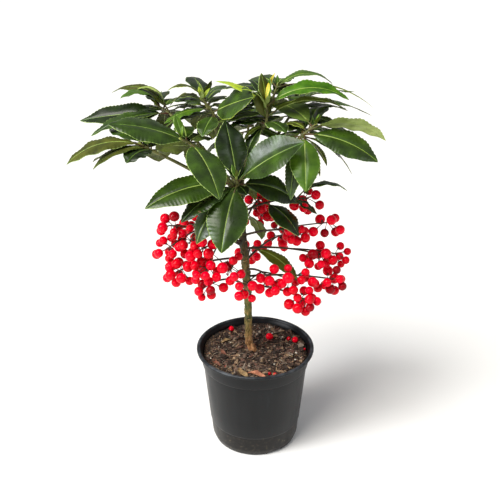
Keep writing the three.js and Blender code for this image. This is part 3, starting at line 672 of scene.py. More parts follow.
# Triangles between a ring of places and the one place at its middle, wound the other way when turned
def fan(middle, ring, is_turned=False):
    pair = [ring, np.roll(ring, -1)]
    return np.stack([np.full(len(ring), middle)] + (pair[::-1] if is_turned else pair), 1)


def full_turn(sides):
    return np.arange(sides) * 2 * math.pi / sides


# A limb along points: rings of one radius, or of a radius for every corner, with its ends closed. Its mark
# is one finish, or one for every face between its rings
def add_limb(heap, points, radii, sides, mark, bumps=None):
    points = np.asarray(points, float)
    radii = np.broadcast_to(np.asarray(radii, float), len(points))
    ahead = np.gradient(points, axis=0)
    ahead /= np.linalg.norm(ahead, axis=1)[:, None]
    turn = full_turn(sides)
    side = np.array([0.0, 1.0, 0.0])
    rings = []
    for i, centre in enumerate(points):
        side = unit(side - ahead[i] * side.dot(ahead[i]))
        up = np.cross(side, ahead[i])
        reach = radii[i] * (1 if bumps is None else bumps[i])
        rings.append(centre + (reach * np.cos(turn))[:, None] * side - (reach * np.sin(turn))[:, None] * up)
    count = len(points) * sides
    ends = [np.arange(sides)[None, ::-1], np.arange(count - sides, count)[None]]
    faces = grid_faces(len(points), sides, True).reshape(-1, 4)
    end_mark = np.ravel(mark)[0]
    heap.add(np.vstack(rings), [(faces, mark), (ends[0], end_mark), (ends[1], end_mark)])


# Leaf: a leathery blade with a scalloped, waved and paler edge, a sunk midrib and sunk side veins, on a slim
# stalk that goes on as the rib under the blade
COLUMNS = np.array([-1, -0.94, -0.62, -0.3, -0.05, 0, 0.05, 0.3, 0.62, 0.94, 1])
LOBE_PITCH = 3.4
LOBE_DEPTH = 0.6
NOTCH = np.array([1, 0.28, 0, 0.28])
EDGE_WIDTH = 0.6
RIB_HALF = (0.62, 0.16)
LEAF_THICK = 0.34
MIDRIB_DEPTH = 0.35
VEIN_DEPTH = 0.1
VEIN_PITCH = 5.2
VEIN_SLANT = 1.2
FINE_STEPS = 56
RIB_REACH = 0.86
RIB_ROWS = 16
RIB_RADIUS = ([0, 0.06, 0.14, RIB_REACH], [1.15, 0.8, 0.62, 0.2])
RIB_SUNK = ([0, 0.1, 0.2], [0, 0.1, 1])
FULL_LENGTH = 55
TONES = ("dark", "deep", "fresh", "dull", "olive", "pale", "bright", "lime", "yellow", "moss")
UNDER, UNDER_PALE, RIB, RIB_PALE, EDGE, EDGE_PALE, EDGE_LIME, STALK, SPOT = range(10, 19)
MARGINS = {"": EDGE, "pale": EDGE_PALE, "lime": EDGE_LIME}
TONE_SHARES = (0.24, 0.68, 0.84)
# How leaves differ: the turn along one and its twist, the fold along its midrib, how its sides curl down,
# and the waves of its margin and their height
SWAY, TWIST = (-7, 7), (-10, 10)
FOLD, CURL = (0.08, 0.26), (0.12, 0.30)
WAVES, SWELL = (2.2, 4.2), (0.35, 1.15)
TWIST_FROM = 0.4
# Narrow leaves wave less, narrow parts of a blade have less relief, and the tip ends nearly in a point
CALM_WIDTH, CALM_HALF = 26, 6
TIP_FROM, TIP_HALF = 0.9, 0.16
EDGE_FROM, RIB_MOST = 0.82, 0.2
EDGE_LIFT = 0.17
VEIN_BEND, VEIN_BENDS = 0.3, 9
SPOT_PLACE = (0.2, 0.85)
ANY_PHASE = (0, 6.28)
PALE_RIBS, PALE_EDGES, SPOTTED = 0.6, 0.4, 0.1
# Leaves with a shape of their own: a leaf's row in its shoot, then its slimness and the fold along its
# midrib
OWN_SHAPE = {("front", 2): (0.78, 0.36), ("right", 0): (0.9, 0.1), ("front", 0): (1.0, 0.08),
             ("front", 5): (0.96, 0.0), ("top", 5): (0.74, 0.3), ("right_middle", 0): (1.3, 0.12)}


# Places at some shares of the way along a line
def sampled(line, shares):
    steps = np.linspace(0, 1, len(line))
    return np.stack([np.interp(shares, steps, line[:, axis]) for axis in range(3)], 1)


def quads(at, is_turned):
    found = np.stack([at[:-1, :-1], at[:-1, 1:], at[1:, 1:], at[1:, :-1]], 2)
    return found[:, :, ::-1] if is_turned else found


def add_leaf(heap, grown, seed, own_shape):
    leaf = grown["leaf"]
    dice = Dice(seed)
    bearing, rise, droop, length, width, roll, _ = leaf
    spans = (SWAY, TWIST, FOLD, CURL, WAVES, SWELL)
    sway, twist, fold, curl, waves, swell = [dice.roll(*span) for span in spans]
    shifts = np.where(COLUMNS < 0, dice.roll(*ANY_PHASE), dice.roll(*ANY_PHASE))
    tone = grown["tone"] or TONES[int(np.searchsorted(TONE_SHARES, dice.roll()))]
    tone, _, margin = tone.partition("+")
    young = tone in ("bright", "lime", "yellow")
    slim, fold = own_shape or (1.0, fold)
    width = slim * width
    swell = swell * min(1.0, width / CALM_WIDTH)
    lobes = max(5, round(length * (1 - STALK_PART) / LOBE_PITCH))
    shares = np.linspace(STALK_PART, 1, 4 * lobes + 1)
    blade = ((shares - STALK_PART) / (1 - STALK_PART))[:, None]
    line = leaf_line(grown["root"], leaf, FINE_STEPS, sway)
    middle = sampled(line, shares)
    frames = [leaf_frame((bearing + sway * share,) + leaf[1:], share, twist * (share - TWIST_FROM))
              for share in shares]
    side, up = [np.array([pair[way] for pair in frames])[:, None] for way in (0, 1)]
    # Places across the blade and their height over it, from the midrib out to the lobed edge
    half = blade_half(width, blade)
    half = np.maximum(half, np.where(blade > TIP_FROM, TIP_HALF, STALK_HALF))
    part = np.minimum(1, half / CALM_HALF)
    across = half * COLUMNS
    across[:, [1, 9]] = np.maximum(EDGE_FROM * half, half - EDGE_WIDTH) * [-1, 1]
    across[:, [4, 6]] = np.minimum(RIB_MOST * half, mix(*RIB_HALF, blade)) * [-1, 1]
    edge = np.abs(across) / half
    notch = np.append(np.tile(NOTCH, lobes), 1)[:, None]
    lift = half * (fold * edge - curl * edge ** 2)
    lift += swell * part * edge ** 2 * np.sin(2 * math.pi * waves * blade + shifts)
    lift += EDGE_LIFT * part * edge ** 4 * (1 - 2 * notch)
    lift -= MIDRIB_DEPTH * part * (COLUMNS == 0)
    pairs = max(4, round(length / VEIN_PITCH))
    bent = VEIN_BEND * np.sin(VEIN_BENDS * blade + shifts) - VEIN_SLANT * edge
    veins = (0.5 + 0.5 * np.cos(2 * math.pi * (pairs * blade + bent))) ** 2
    lift -= VEIN_DEPTH * part * veins * (np.abs(COLUMNS) > 0.04) * (1 - edge ** 3)
    across = across - np.sign(COLUMNS) * edge ** 10 * notch * LOBE_DEPTH * part
    thick = 0.5 * LEAF_THICK * np.minimum(1, half / 2) * (1 - edge ** 6)
    flat = middle[:, None] + side * across[:, :, None]
    top = flat + up * (lift + thick)[:, :, None]
    under = (flat + up * (lift - thick)[:, :, None])[:, 1:-1]
    rows, columns = top.shape[:2]
    below = columns - 2
    under_at = np.arange(rows)[:, None] * below + np.arange(below) + rows * columns
    top_at = np.arange(rows)[:, None] * columns + np.arange(columns)
    under_at = np.hstack([top_at[:, :1], under_at, top_at[:, -1:]])
    upper, lower = quads(top_at, False), quads(under_at, True)
    # Finishes of the blade, its midrib, its margin and now and then a brown spot
    marks = np.full(upper.shape[:2], TONES.index(tone))
    marks[:, 4:6] = RIB_PALE if young or margin or tone != "dark" and dice.roll() < PALE_RIBS else RIB
    marks[:, [0, 9]] = EDGE_PALE if young or dice.roll() < PALE_EDGES else EDGE
    if margin:
        marks[:, [0, 9]] = MARGINS[margin]
    if dice.roll() < SPOTTED and not young:
        at, column = int(dice.roll(*SPOT_PLACE) * rows), (1, 8)[int(dice.roll(0, 1.99))]
        marks[at:at + 2, column] = SPOT
    lower_mark = UNDER_PALE if young or tone == "pale" else UNDER
    base_end = np.append(under_at[0], top_at[0, -2:0:-1])[None]
    tip_end = np.append(top_at[-1], under_at[-1, -2:0:-1])[None]
    heap.add(np.vstack([top.reshape(-1, 3), under.reshape(-1, 3)]),
             [(upper.reshape(-1, 4), marks.ravel()), (lower.reshape(-1, 4), lower_mark),
              (base_end, STALK), (tip_end, marks[-1, 1])])
    # Stalk, and the rib under the blade
    rib_shares = np.linspace(0, RIB_REACH, RIB_ROWS)
    rib_line = sampled(line, rib_shares)
    rib_radius = min(1.0, length / FULL_LENGTH) * np.interp(rib_shares, *RIB_RADIUS)
    down = np.array([leaf_frame(leaf, share)[1] for share in rib_shares])
    sunk = np.interp(rib_shares, *RIB_SUNK) * (rib_radius * 0.4 + 0.2 * MIDRIB_DEPTH)
    split = 4
    points = rib_line - down * sunk[:, None]
    add_limb(heap, points[:split], rib_radius[:split], 7, STALK)
    add_limb(heap, points[split - 1:], rib_radius[split - 1:], 7, UNDER_PALE)


# Every leaf has a seed of its own, in the order in which the leaves are made
leaf_seeds = itertools.count(117, 17)


def add_leaves(heap, host):
    numbers = {row[:7]: number for number, row in enumerate(host["seen"])}
    for grown in host["leaves"]:
        own_shape = OWN_SHAPE.get((host["name"], numbers.get(grown["leaf"])))
        add_leaf(heap, grown, next(leaf_seeds), own_shape)


# Berry: a round drupe with a dry star of sepals at its stalk and the dry tip of its style opposite
BERRY_RINGS = 12
BERRY_SIDES = 18
SCARLET, CRIMSON, DEEP_RED, DRY = range(4)
SLIM_STALK, RED_STALK, TWIG_BARK = range(3)
BERRY_SHARES = (0.56, 0.93)
RED_STALKS = 0.3
STALK_RADII = (0.42, 0.36, 0.34, 0.34, 0.36, 0.46, 0.75)
STYLE_RADII, STYLE_STEPS = (0.34, 0.18, 0.08), (0, 0.45, 0.8)
STALK_BOW, STALK_SWAY = (0.2, 1.4), (-0.8, 0.8)
BERRY_LENGTH = (0.93, 1.0)
STUB_RADII, SEPAL_RADII = (0.85, 0.7), (1.3, 0.35)


# A closed ball of one radius across its axis and another along it
def add_ball(heap, centre, axis, radii, mark, sides=BERRY_SIDES, rings=BERRY_RINGS):
    across = unit(np.cross(axis, UP if abs(axis[2]) < 0.9 else np.array([1.0, 0, 0])))
    other = np.cross(axis, across)
    polar = np.linspace(0, math.pi, rings + 1)[1:-1]
    turn = full_turn(sides)
    ring = across * np.cos(turn)[:, None] + other * np.sin(turn)[:, None]
    rows = [centre + axis * (-radii[1] * math.cos(p)) + ring * (radii[0] * math.sin(p)) for p in polar]
    places = np.vstack([centre - axis * radii[1]] + rows + [centre + axis * radii[1]])
    last = len(places) - 1
    sheet = grid_faces(rings - 1, sides, True).reshape(-1, 4) + 1
    start = fan(0, 1 + np.arange(sides), True)
    end = fan(last, last - sides + np.arange(sides))
    heap.add(places, [(sheet, mark), (start, mark), (end, mark)])


def add_berry(heap, stalks, berry, dice):
    root, place, radius = berry["root"], berry["place"], berry["radius"]
    ahead = unit(place - root)
    mark = (SCARLET, CRIMSON, DEEP_RED)[int(np.searchsorted(BERRY_SHARES, dice.roll()))]
    joint = place - ahead * radius
    bow = 0.5 * (root + joint) + UP * dice.roll(*STALK_BOW) + np.cross(ahead, UP) * dice.roll(*STALK_SWAY)
    line = arc(root, bow, joint + ahead * 0.3, len(STALK_RADII) - 1)
    stalk_mark = RED_STALK if dice.roll() < RED_STALKS else SLIM_STALK
    add_limb(stalks, line, STALK_RADII, 6, stalk_mark)
    if berry["bare"]:
        add_ball(stalks, joint, ahead, STUB_RADII, stalk_mark, 8, 6)
        return
    add_ball(heap, place, ahead, (radius, radius * dice.roll(*BERRY_LENGTH)), mark)
    add_ball(heap, joint + ahead * 0.15, ahead, SEPAL_RADII, DRY, 10, 6)
    tip = place + ahead * radius * 0.95
    add_limb(heap, [tip + ahead * step for step in STYLE_STEPS], STYLE_RADII, 5, DRY)


# Smooth random hills over a plane: the sum of soft bumps, each with a place, a width and a height
def hills(x, y, seed, count, reach, width, height):
    source = np.random.default_rng(seed)
    places = source.uniform(-reach, reach, (count, 2))
    widths = source.uniform(*width, count)
    heights = source.uniform(-height, height, count)
    total = np.zeros(np.shape(x))
    for (px, py), w, h in zip(places, widths, heights):
        total = total + h * np.exp(-((x - px) ** 2 + (y - py) ** 2) / (2 * w * w))
    return total


# The linear colour of a hex value
def linear(hex_colour):
    parts = [int(hex_colour[i:i + 2], 16) / 255 for i in (1, 3, 5)]
    return [p / 12.92 if p <= 0.04045 else ((p + 0.055) / 1.055) ** 2.4 for p in parts] + [1.0]


# A node with its settings and links; stops are the places and colours of a ramp
def add(tree, kind, inputs=None, stops=(), **settings):
    made = tree.nodes.new(kind)
    for key, value in settings.items():
        setattr(made, key, value)
    for i, (position, colour) in enumerate(stops):
        elements = made.color_ramp.elements
        element = elements[i] if i < 2 else elements.new(position)
        element.position, element.color = position, linear(colour)
    for key, value in (inputs or {}).items():
        if isinstance(value, bpy.types.NodeSocket):
            tree.links.new(value, made.inputs[key])
        else:
            made.inputs[key].default_value = value
    return made.outputs


def start_finish(name, **shader_inputs):
    finish = bpy.data.materials.new(name)
    finish.use_nodes = True
    tree = finish.node_tree
    tree.nodes.clear()
    settings = {key.replace("_", " "): value for key, value in shader_inputs.items()}
    surface = add(tree, "ShaderNodeBsdfPrincipled", settings)[0]
    add(tree, "ShaderNodeOutputMaterial", {"Surface": surface})
    place = add(tree, "ShaderNodeTexCoord")["Object"]
    return finish, tree, surface.node.inputs, place


# Noise lies for the most part between these two values
MOST_NOISE = {"From Min": 0.3, "From Max": 0.7}


# The end of every finish: its colour, its roughness from one pattern and its relief from another, in mm
def end_finish(tree, shader, colour, wear, gloss, fine, depth):
    span = {"To Min": gloss[0], "To Max": gloss[1], **MOST_NOISE}
    dull = add(tree, "ShaderNodeMapRange", {"Value": wear, **span})
    relief = add(tree, "ShaderNodeBump", {"Height": fine, "Distance": depth * METRE, "Strength": 1})
    tree.links.new(colour, shader["Base Color"])
    tree.links.new(dull["Result"], shader["Roughness"])
    tree.links.new(relief["Normal"], shader["Normal"])


# One colour that gives way to the next between two heights in millimetres
def layer(tree, height, border, under, over):
    span = {"From Min": border[0] * METRE, "From Max": border[1] * METRE}
    share = add(tree, "ShaderNodeMapRange", {"Value": height, **span})["Result"]
    return add(tree, "ShaderNodeMix", {0: share, 6: under, 7: over}, data_type="RGBA")[2]


# A finish of mottled colour, uneven gloss and fine relief; patch, grain and depth are in millimetres
def mottled(name, stops, patch, gloss, grain, depth, **shader_inputs):
    finish, tree, shader, place = start_finish(name, **shader_inputs)
    patches, wear, fine = [
        add(tree, "ShaderNodeTexNoise", {"Vector": place, "Scale": 1 / (size * METRE), "Detail": 3})["Fac"]
        for size in (patch, 0.4 * patch, grain)]
    colour = add(tree, "ShaderNodeValToRGB", {"Fac": patches}, stops)["Color"]
    end_finish(tree, shader, colour, wear, gloss, fine, depth)
    return finish


# Living leaves: a waxy cuticle over uneven green, so the blade has a soft pale sheen; the edge is rolled and
# thicker, so it looks paler, and the underside has no wax and stays dull
def blade_finish(name, dark, middle, light, gloss, sheen=0.4):
    return mottled(name, [(0.3, dark), (0.72, light), (0.5, middle)], 12, gloss, 0.8, 0.035,
                   IOR=1.45, Specular_IOR_Level=sheen, Coat_Weight=0.05, Coat_Roughness=0.2)


leaf_finishes = [blade_finish(*row) for row in (
    ("leaf_cuticle_dark", "#121e08", "#1c2c0b", "#293d10", (0.26, 0.38)),
    ("leaf_cuticle_deep", "#1f3009", "#2c420e", "#3c5814", (0.25, 0.38), 0.48),
    ("leaf_cuticle_fresh", "#34530f", "#456515", "#587b1d", (0.32, 0.44), 0.34),
    ("leaf_cuticle_dull", "#3e5020", "#506428", "#647a34", (0.36, 0.48), 0.3),
    ("leaf_cuticle_olive", "#343a0c", "#474d14", "#5d611f", (0.4, 0.52), 0.28),
    ("leaf_cuticle_pale", "#8a9a48", "#a2b35c", "#bccb76", (0.44, 0.54), 0.3),
    ("leaf_cuticle_bright", "#274b02", "#3b6604", "#56830b", (0.36, 0.48), 0.26),
    ("leaf_cuticle_lime", "#93ae1c", "#b0c62e", "#ccd94e", (0.4, 0.5), 0.3),
    ("leaf_cuticle_yellow", "#b09a22", "#cdb83a", "#e2d466", (0.4, 0.5), 0.3),
    ("leaf_cuticle_moss", "#424e0d", "#566314", "#6f7a22", (0.38, 0.5), 0.3),
)]
# The underside is dull, the midrib and the rolled edge pale, the stalk flushed with red, a dead spot brown
leaf_finishes.append(
    mottled("leaf_underside_olive", [(0.3, "#363f0a"), (0.7, "#586618")], 9, (0.5, 0.62), 0.9, 0.03,
            IOR=1.45, Specular_IOR_Level=0.25))
leaf_finishes += [mottled(*row, IOR=1.45) for row in (
    ("leaf_underside_pale", [(0.3, "#7d8e42"), (0.7, "#a6b768")], 9, (0.5, 0.6), 0.9, 0.03),
    ("leaf_midrib_green", [(0.3, "#45701f"), (0.7, "#5f8a2e")], 6, (0.35, 0.45), 0.8, 0.02),
    ("leaf_midrib_yellow", [(0.3, "#7d9e34"), (0.7, "#9ab846")], 6, (0.35, 0.45), 0.8, 0.02),
    ("leaf_edge_green", [(0.35, "#2f4c14"), (0.65, "#5d7f30")], 2.2, (0.35, 0.5), 0.6, 0.03),
    ("leaf_edge_pale", [(0.35, "#6d8e38"), (0.65, "#b3c873")], 2.2, (0.35, 0.5), 0.6, 0.03),
    ("leaf_edge_lime", [(0.35, "#86a02a"), (0.65, "#c3d65a")], 4, (0.35, 0.5), 0.6, 0.03),
    ("leaf_stalk_flushed", [(0.35, "#4d5a22"), (0.65, "#55301f")], 5, (0.4, 0.55), 0.7, 0.04),
    ("leaf_spot_brown", [(0.35, "#33280f"), (0.65, "#5e4a22")], 2, (0.6, 0.75), 0.6, 0.06),
)]


# Ripe drupes: a taut, polished skin over watery flesh that lets some red light through; the sepals at the
# stalk are dry, brown and dull
def drupe_finish(name, dark, light, gloss, depth_of_light):
    return mottled(name, [(0.3, dark), (0.7, light)], 5, gloss, 1.5, 0.012,
                   IOR=1.45, Specular_IOR_Level=0.06, Coat_Weight=0.22, Coat_Roughness=0.1,
                   Subsurface_Weight=depth_of_light, Subsurface_Radius=(1.0, 0.2, 0.1),
                   Subsurface_Scale=0.0015)


berry_finishes = [
    drupe_finish("berry_skin_scarlet", "#e20018", "#fc002e", (0.2, 0.28), 0.02),
    drupe_finish("berry_skin_crimson", "#c40012", "#e60022", (0.2, 0.28), 0.02),
    drupe_finish("berry_skin_deep_red", "#84000c", "#a60016", (0.2, 0.3), 0.02),
    mottled("berry_dry_sepals", [(0.3, "#2c1612"), (0.7, "#54281c")], 1.5, (0.6, 0.8), 0.6, 0.05),
]
# Stalks of berries: thin purple-brown skin, dull beside the berries; twigs: first bark, brown over green
stalk_finishes = [
    mottled("berry_stalk_purple_brown", [(0.3, "#331816"), (0.7, "#5f3226")], 3, (0.45, 0.6), 0.8, 0.05),
    mottled("berry_stalk_red", [(0.3, "#6e1a1c"), (0.7, "#99352c")], 3, (0.4, 0.55), 0.8, 0.05),
    mottled("twig_bark_brown_green", [(0.3, "#261714"), (0.7, "#56502c"), (0.5, "#3a291c")],
            4, (0.5, 0.7), 1.0, 0.1),
]
# Shoots of this and last year: smooth green bark that greys to olive brown, and the waxy scales of the buds
wood_finishes = [
    mottled("shoot_bark_green", [(0.3, "#45421f"), (0.72, "#7d7d40"), (0.5, "#5d5f2c")],
            5, (0.5, 0.7), 1.0, 0.1),
    mottled("bud_scales", [(0.3, "#5f6f24"), (0.7, "#919c40")], 2, (0.4, 0.5), 0.8, 0.03),
]


# Trunk bark: cracked orange-tan cork at the foot, over it smooth young bark, olive with tan patches, and up
# in the crown dark brown-green bark that is painted shade of the crown; patches of about 4 mm, taller than
# wide, and cracks of 1 mm
CORK_END, PAINTED_SHADE_FROM, BARK_UNEVEN = (128, 168), (205, 250), 50


def bark_finish():
    finish, tree, shader, place = start_finish("trunk_bark_and_shade", IOR=1.5)
    height = add(tree, "ShaderNodeSeparateXYZ", {"Vector": place})["Z"]
    tall = add(tree, "ShaderNodeMapping", {"Vector": place, "Scale": (1, 1, 0.4)})["Vector"]
    patches, cracks, border = [
        add(tree, "ShaderNodeTexNoise", {"Vector": at, "Scale": 1 / (size * METRE), "Detail": detail})["Fac"]
        for at, size, detail in ((tall, 4, 5), (tall, 1.1111, 5), (place, 16.667, 3))]
    cork, olive, young = [add(tree, "ShaderNodeValToRGB", {"Fac": patches}, stops)["Color"] for stops in (
        [(0.3, "#5e3a20"), (0.72, "#cba178"), (0.42, "#8c6038"), (0.55, "#b07f52")],
        [(0.32, "#333818"), (0.72, "#a88c55"), (0.44, "#4e5a22"), (0.53, "#6f6a30"), (0.62, "#8d7a42")],
        # Third ramp: dark brown-green bark, painted shade where the crown shades the trunk
        [(0.34, "#19130a"), (0.72, "#4c421e"), (0.5, "#2b2312")])]
    ragged = {0: border, 1: BARK_UNEVEN * METRE, 2: height}
    uneven = add(tree, "ShaderNodeMath", ragged, operation="MULTIPLY_ADD")[0]
    both = layer(tree, uneven, CORK_END, cork, olive)
    # From 205 to 250 mm up, the olive bark gives way to the painted shade of the crown
    all_three = layer(tree, uneven, PAINTED_SHADE_FROM, both, young)
    end_finish(tree, shader, all_three, patches, (0.55, 0.8), cracks, 0.3)
    return finish


# Trunk: rings with uneven relief, ribs at its foot, and the pale crescent scars of fallen leaves
BARK_SIDES = 48
BARK_SLIMNESS = ([97, 104, 125, 160, 210], [0.7, 0.74, 0.82, 0.89, 1.0])
BARK_SHIFT = ([97, 104, 118, 135, 165], [0, 0.4, 0.8, 0.6, 0])
BARK_PITCH = 0.5
BARK_WAVES = 90
SCAR_PITCH = 5.4
SCAR_FROM = 112
SCAR_TOP = 284
MEAN_RADIUS = 4.0
# The relief of coarse and fine waves and their height, the ribs of the foot and where they fade out
WAVE_RELIEF, WAVE_PITCH = (0.017, 0.01), (2.2, 16)
RIB_RELIEF, RIBS_END, RIBS_FADE = (0.07, 0.05), 126, 24
# Scars: how far they stray, half their height and width, how they bend, and their relief over a dent
SCAR_STRAY, SCAR_HALF, SCAR_BEND = 2.0, (0.55, 2.0), 0.22
SCAR_RELIEF, DENT_RELIEF, DENT_BELOW, DENT_HALF = 0.09, 0.05, 1.2, (0.8, 1.7)
SCAR_EDGE = 0.55


def add_trunk(heap):
    rows = trunk_curve(40)
    heights = np.arange(SOIL_TOP - 1.5, TRUNK[-1][2], BARK_PITCH)
    points = np.stack([np.interp(heights, rows[:, 2], rows[:, axis]) for axis in (0, 1)] + [heights], 1)
    radii = np.interp(heights, rows[:, 2], rows[:, 3]) * np.interp(heights, *BARK_SLIMNESS)
    points[:, 0] += np.interp(heights, *BARK_SHIFT)
    angle, height = np.meshgrid(full_turn(BARK_SIDES), heights)
    source = np.random.default_rng(11)
    relief = np.zeros(angle.shape)
    for _ in range(BARK_WAVES):
        turns, pitch = source.integers(0, 12), source.uniform(*WAVE_PITCH)
        size = WAVE_RELIEF[0] if turns < 6 else WAVE_RELIEF[1]
        relief += size * np.cos(turns * angle + 2 * math.pi * height / pitch * source.choice([-1, 1])
                                + source.uniform(0, 2 * math.pi))
    fade = np.clip((RIBS_END - height) / RIBS_FADE, 0, 1)
    relief += fade * (RIB_RELIEF[0] * np.cos(3 * angle + 0.6)
                      + RIB_RELIEF[1] * np.cos(7 * angle + 0.05 * height))
    scarred = np.zeros(angle.shape, bool)
    for i, at in enumerate(np.arange(SCAR_FROM, SCAR_TOP, SCAR_PITCH)):
        bearing = math.radians(GOLDEN_TURN * i)
        side = np.angle(np.exp(1j * (angle - bearing))) * MEAN_RADIUS
        drop = height - at - SCAR_STRAY * math.sin(5.1 * i) - SCAR_BEND * side ** 2
        scar = np.exp(-(drop / SCAR_HALF[0]) ** 2 - (side / SCAR_HALF[1]) ** 4)
        dent = np.exp(-((drop - DENT_BELOW) / DENT_HALF[0]) ** 2 - (side / DENT_HALF[1]) ** 4)
        relief += SCAR_RELIEF * scar - DENT_RELIEF * dent
        scarred |= scar > SCAR_EDGE
    marks = scarred[:-1].astype(int).ravel()
    add_limb(heap, points, radii, BARK_SIDES, marks, 1 + relief)


# Pot: a thin moulded wall with a recessed foot band, a collar, a rolled rim and drain notches
POT_PROFILE = [
    (0, 0), (30, 0), (36.6, 0), (41.2, 0), (42.3, 0.3), (43.0, 1.0), (43.5, 2.2), (44.4, 4.5),
    (45.0, 6.3), (45.3, 8), (46.0, 16), (46.6, 23), (46.65, 23.6), (46.9, 24.0), (47.2, 24.3),
    (47.35, 24.9), (49.0, 42.5), (50.7, 60.5), (52.2, 77.5), (53.1, 87.2), (53.1, 88.6), (53.3, 89.3),
    (54.35, 89.45), (54.5, 90), (54.9, 96), (55.4, 101.8), (55.55, 102.7), (56.0, 103.5), (56.8, 103.95),
    (58.8, 104.05), (59.5, 104.2), (59.9, 104.6), (60, 105.1), (59.95, 105.8), (59.7, 106.4),
    (59.2, 106.85), (58.5, 107), (57.5, 107), (56.9, 106.75), (56.5, 106.3), (56.1, 105.4), (55.3, 103.6),
    (54.1, 102), (53.6, 97), (52.9, 90), (51.7, 87.6), (41.8, FLOOR), (0, FLOOR),
]
FOOT_ROWS = 10
FOOT_FROM = 33
NOTCH_SLOPE = 1.5
POT_SIDES = 192


def add_pot(heap):
    turn = full_turn(POT_SIDES)
    profile = np.array(POT_PROFILE[1:-1])
    radius = np.repeat(profile[:, :1], POT_SIDES, 1)
    height = np.repeat(profile[:, 1:], POT_SIDES, 1)
    wobble = 0.12 * np.sin(2 * turn + 0.7) + 0.06 * np.sin(5 * turn + height * 0.06)
    radius = radius + wobble * np.clip((height - 25) / 60, 0, 1)
    spaced = np.angle(np.exp(1j * NOTCHES * (turn - math.radians(NOTCH_BEARING)))) / NOTCHES
    cut = np.clip((0.5 * NOTCH_WIDTH - np.abs(spaced) * FOOT_RADIUS) / NOTCH_SLOPE + 0.5, 0, 1)
    foot = (np.arange(len(profile))[:, None] < FOOT_ROWS) & (radius > FOOT_FROM)
    height = np.where(foot, np.maximum(height, NOTCH_HEIGHT * cut), height)
    places = np.stack([radius * np.cos(turn), radius * np.sin(turn), height], 2).reshape(-1, 3)
    count = len(places)
    ring = np.arange(POT_SIDES)
    heap.add(np.vstack([places, [[0, 0, 0], [0, 0, FLOOR]]]),
             [(grid_faces(len(profile), POT_SIDES, True).reshape(-1, 4), 0), (fan(count, ring, True), 0),
              (fan(count + 1, count - POT_SIDES + ring), 0)])


# Potting mix: an uneven bed of fine crumbs, with bark chips, fibres and white grit strewn on it
# Hills of the bed: seed, count, reach, widths and height; a gap at the left edge, and a heap at the back
SMALL_HILLS, LARGE_HILLS = (21, 420, 56, (1.4, 3.6), 1.5), (22, 90, 56, (6, 12), 1.0)
GAP_PLACE, GAP_DEPTH, GAP_SPREAD = (-52, 4), 3.2, 60
HEAP_HEIGHT = 3.6
BED_SUNK = 0.4


def bed_height(x, y):
    reach = np.hypot(x, y) / SOIL_RADIUS
    fine = hills(x, y, *SMALL_HILLS) + hills(x, y, *LARGE_HILLS)
    gap = GAP_DEPTH * np.exp(-((x - GAP_PLACE[0]) ** 2 + (y - GAP_PLACE[1]) ** 2) / GAP_SPREAD)
    heaped = HEAP_HEIGHT * np.clip((reach - 0.5) / 0.4, 0, 1) ** 1.4 * np.clip((y + 10) / 36, 0, 1)
    return SOIL_TOP - SOIL_DROP * reach ** 2 + fine + heaped - BED_SUNK - gap


# A place so high over the bed
def on_bed(x, y, over):
    return np.array([x, y, float(bed_height(x, y)) + over])


BED_RINGS, BED_SIDES = 84, 240
BED_DEPTH = 9.0


def add_bed(heap):
    reach = np.linspace(0.6, SOIL_RADIUS + 0.2, BED_RINGS)[:, None]
    turn = full_turn(BED_SIDES)[None]
    x, y = reach * np.cos(turn), reach * np.sin(turn)
    crumbs = np.random.default_rng(5).normal(0, 0.42, x.shape)
    top = np.stack([x, y, bed_height(x, y) + crumbs], 2).reshape(-1, 3)
    skirt_radius = SOIL_RADIUS - 1.4
    low = np.stack([skirt_radius * np.cos(turn[0]), skirt_radius * np.sin(turn[0]),
                    np.full(BED_SIDES, SOIL_TOP - BED_DEPTH)], 1)
    count = len(top)
    ring = np.arange(BED_SIDES)
    after = np.roll(ring, -1)
    base = count - BED_SIDES
    skirt = np.stack([base + ring, count + ring, count + after, base + after], 1)
    middle = fan(count + BED_SIDES, ring)
    under = fan(count + BED_SIDES + 1, count + ring, True)
    centre = [[0, 0, float(bed_height(0.0, 0.0))], [0, 0, SOIL_TOP - BED_DEPTH]]
    crumb_faces = grid_faces(BED_RINGS, BED_SIDES, True).reshape(-1, 4)[:, ::-1]
    heap.add(np.vstack([top, low, centre]), [(crumb_faces, 0), (skirt, 0), (middle, 0), (under, 0)])


CHIP_CORNERS = np.array([(x, y, z) for z in (-1, 1) for y in (-1, 1) for x in (-1, 1)], float)
CHIP_FACES = np.array([(0, 2, 3, 1), (4, 5, 7, 6), (0, 1, 5, 4), (2, 6, 7, 3), (0, 4, 6, 2), (1, 3, 7, 5)])
CHIPS = 2200
CHIP_SIDE, CHIP_THICK, CHIP_MARGIN = (1.0, 7.0), (0.5, 1.3), 2
FIBRES = 210
FIBRE_LENGTH, FIBRE_RADIUS, FIBRE_MARGIN = (3, 13), (0.14, 0.32), 5
FIBRE_BEND, FIBRE_LIFT = (-0.7, 0.7), (0.3, 1.6)
DARK_CHIP, BROWN_CHIP, TAN_CHIP, GREY_FIBRE, RED_CHIP, GRIT = range(1, 7)
CHIP_KINDS = (DARK_CHIP, BROWN_CHIP, TAN_CHIP, GREY_FIBRE, RED_CHIP, GRIT)
CHIP_SHARES = (0.4, 0.3, 0.12, 0.09, 0.07, 0.02)
# White grit and one pale pebble that show from the front: bearing, reach and size
GRAINS = [(70, 46.8, 2.2), (-166, 46.9, 2.0), (-6, 42, 3.4)]


def turned(yaw, pitch, roll):
    spin = np.array([[math.cos(yaw), -math.sin(yaw), 0], [math.sin(yaw), math.cos(yaw), 0], [0, 0, 1]])
    nod = np.array([[math.cos(pitch), 0, math.sin(pitch)], [0, 1, 0],
                    [-math.sin(pitch), 0, math.cos(pitch)]])
    lean = np.array([[1, 0, 0], [0, math.cos(roll), -math.sin(roll)], [0, math.sin(roll), math.cos(roll)]])
    return spin @ nod @ lean


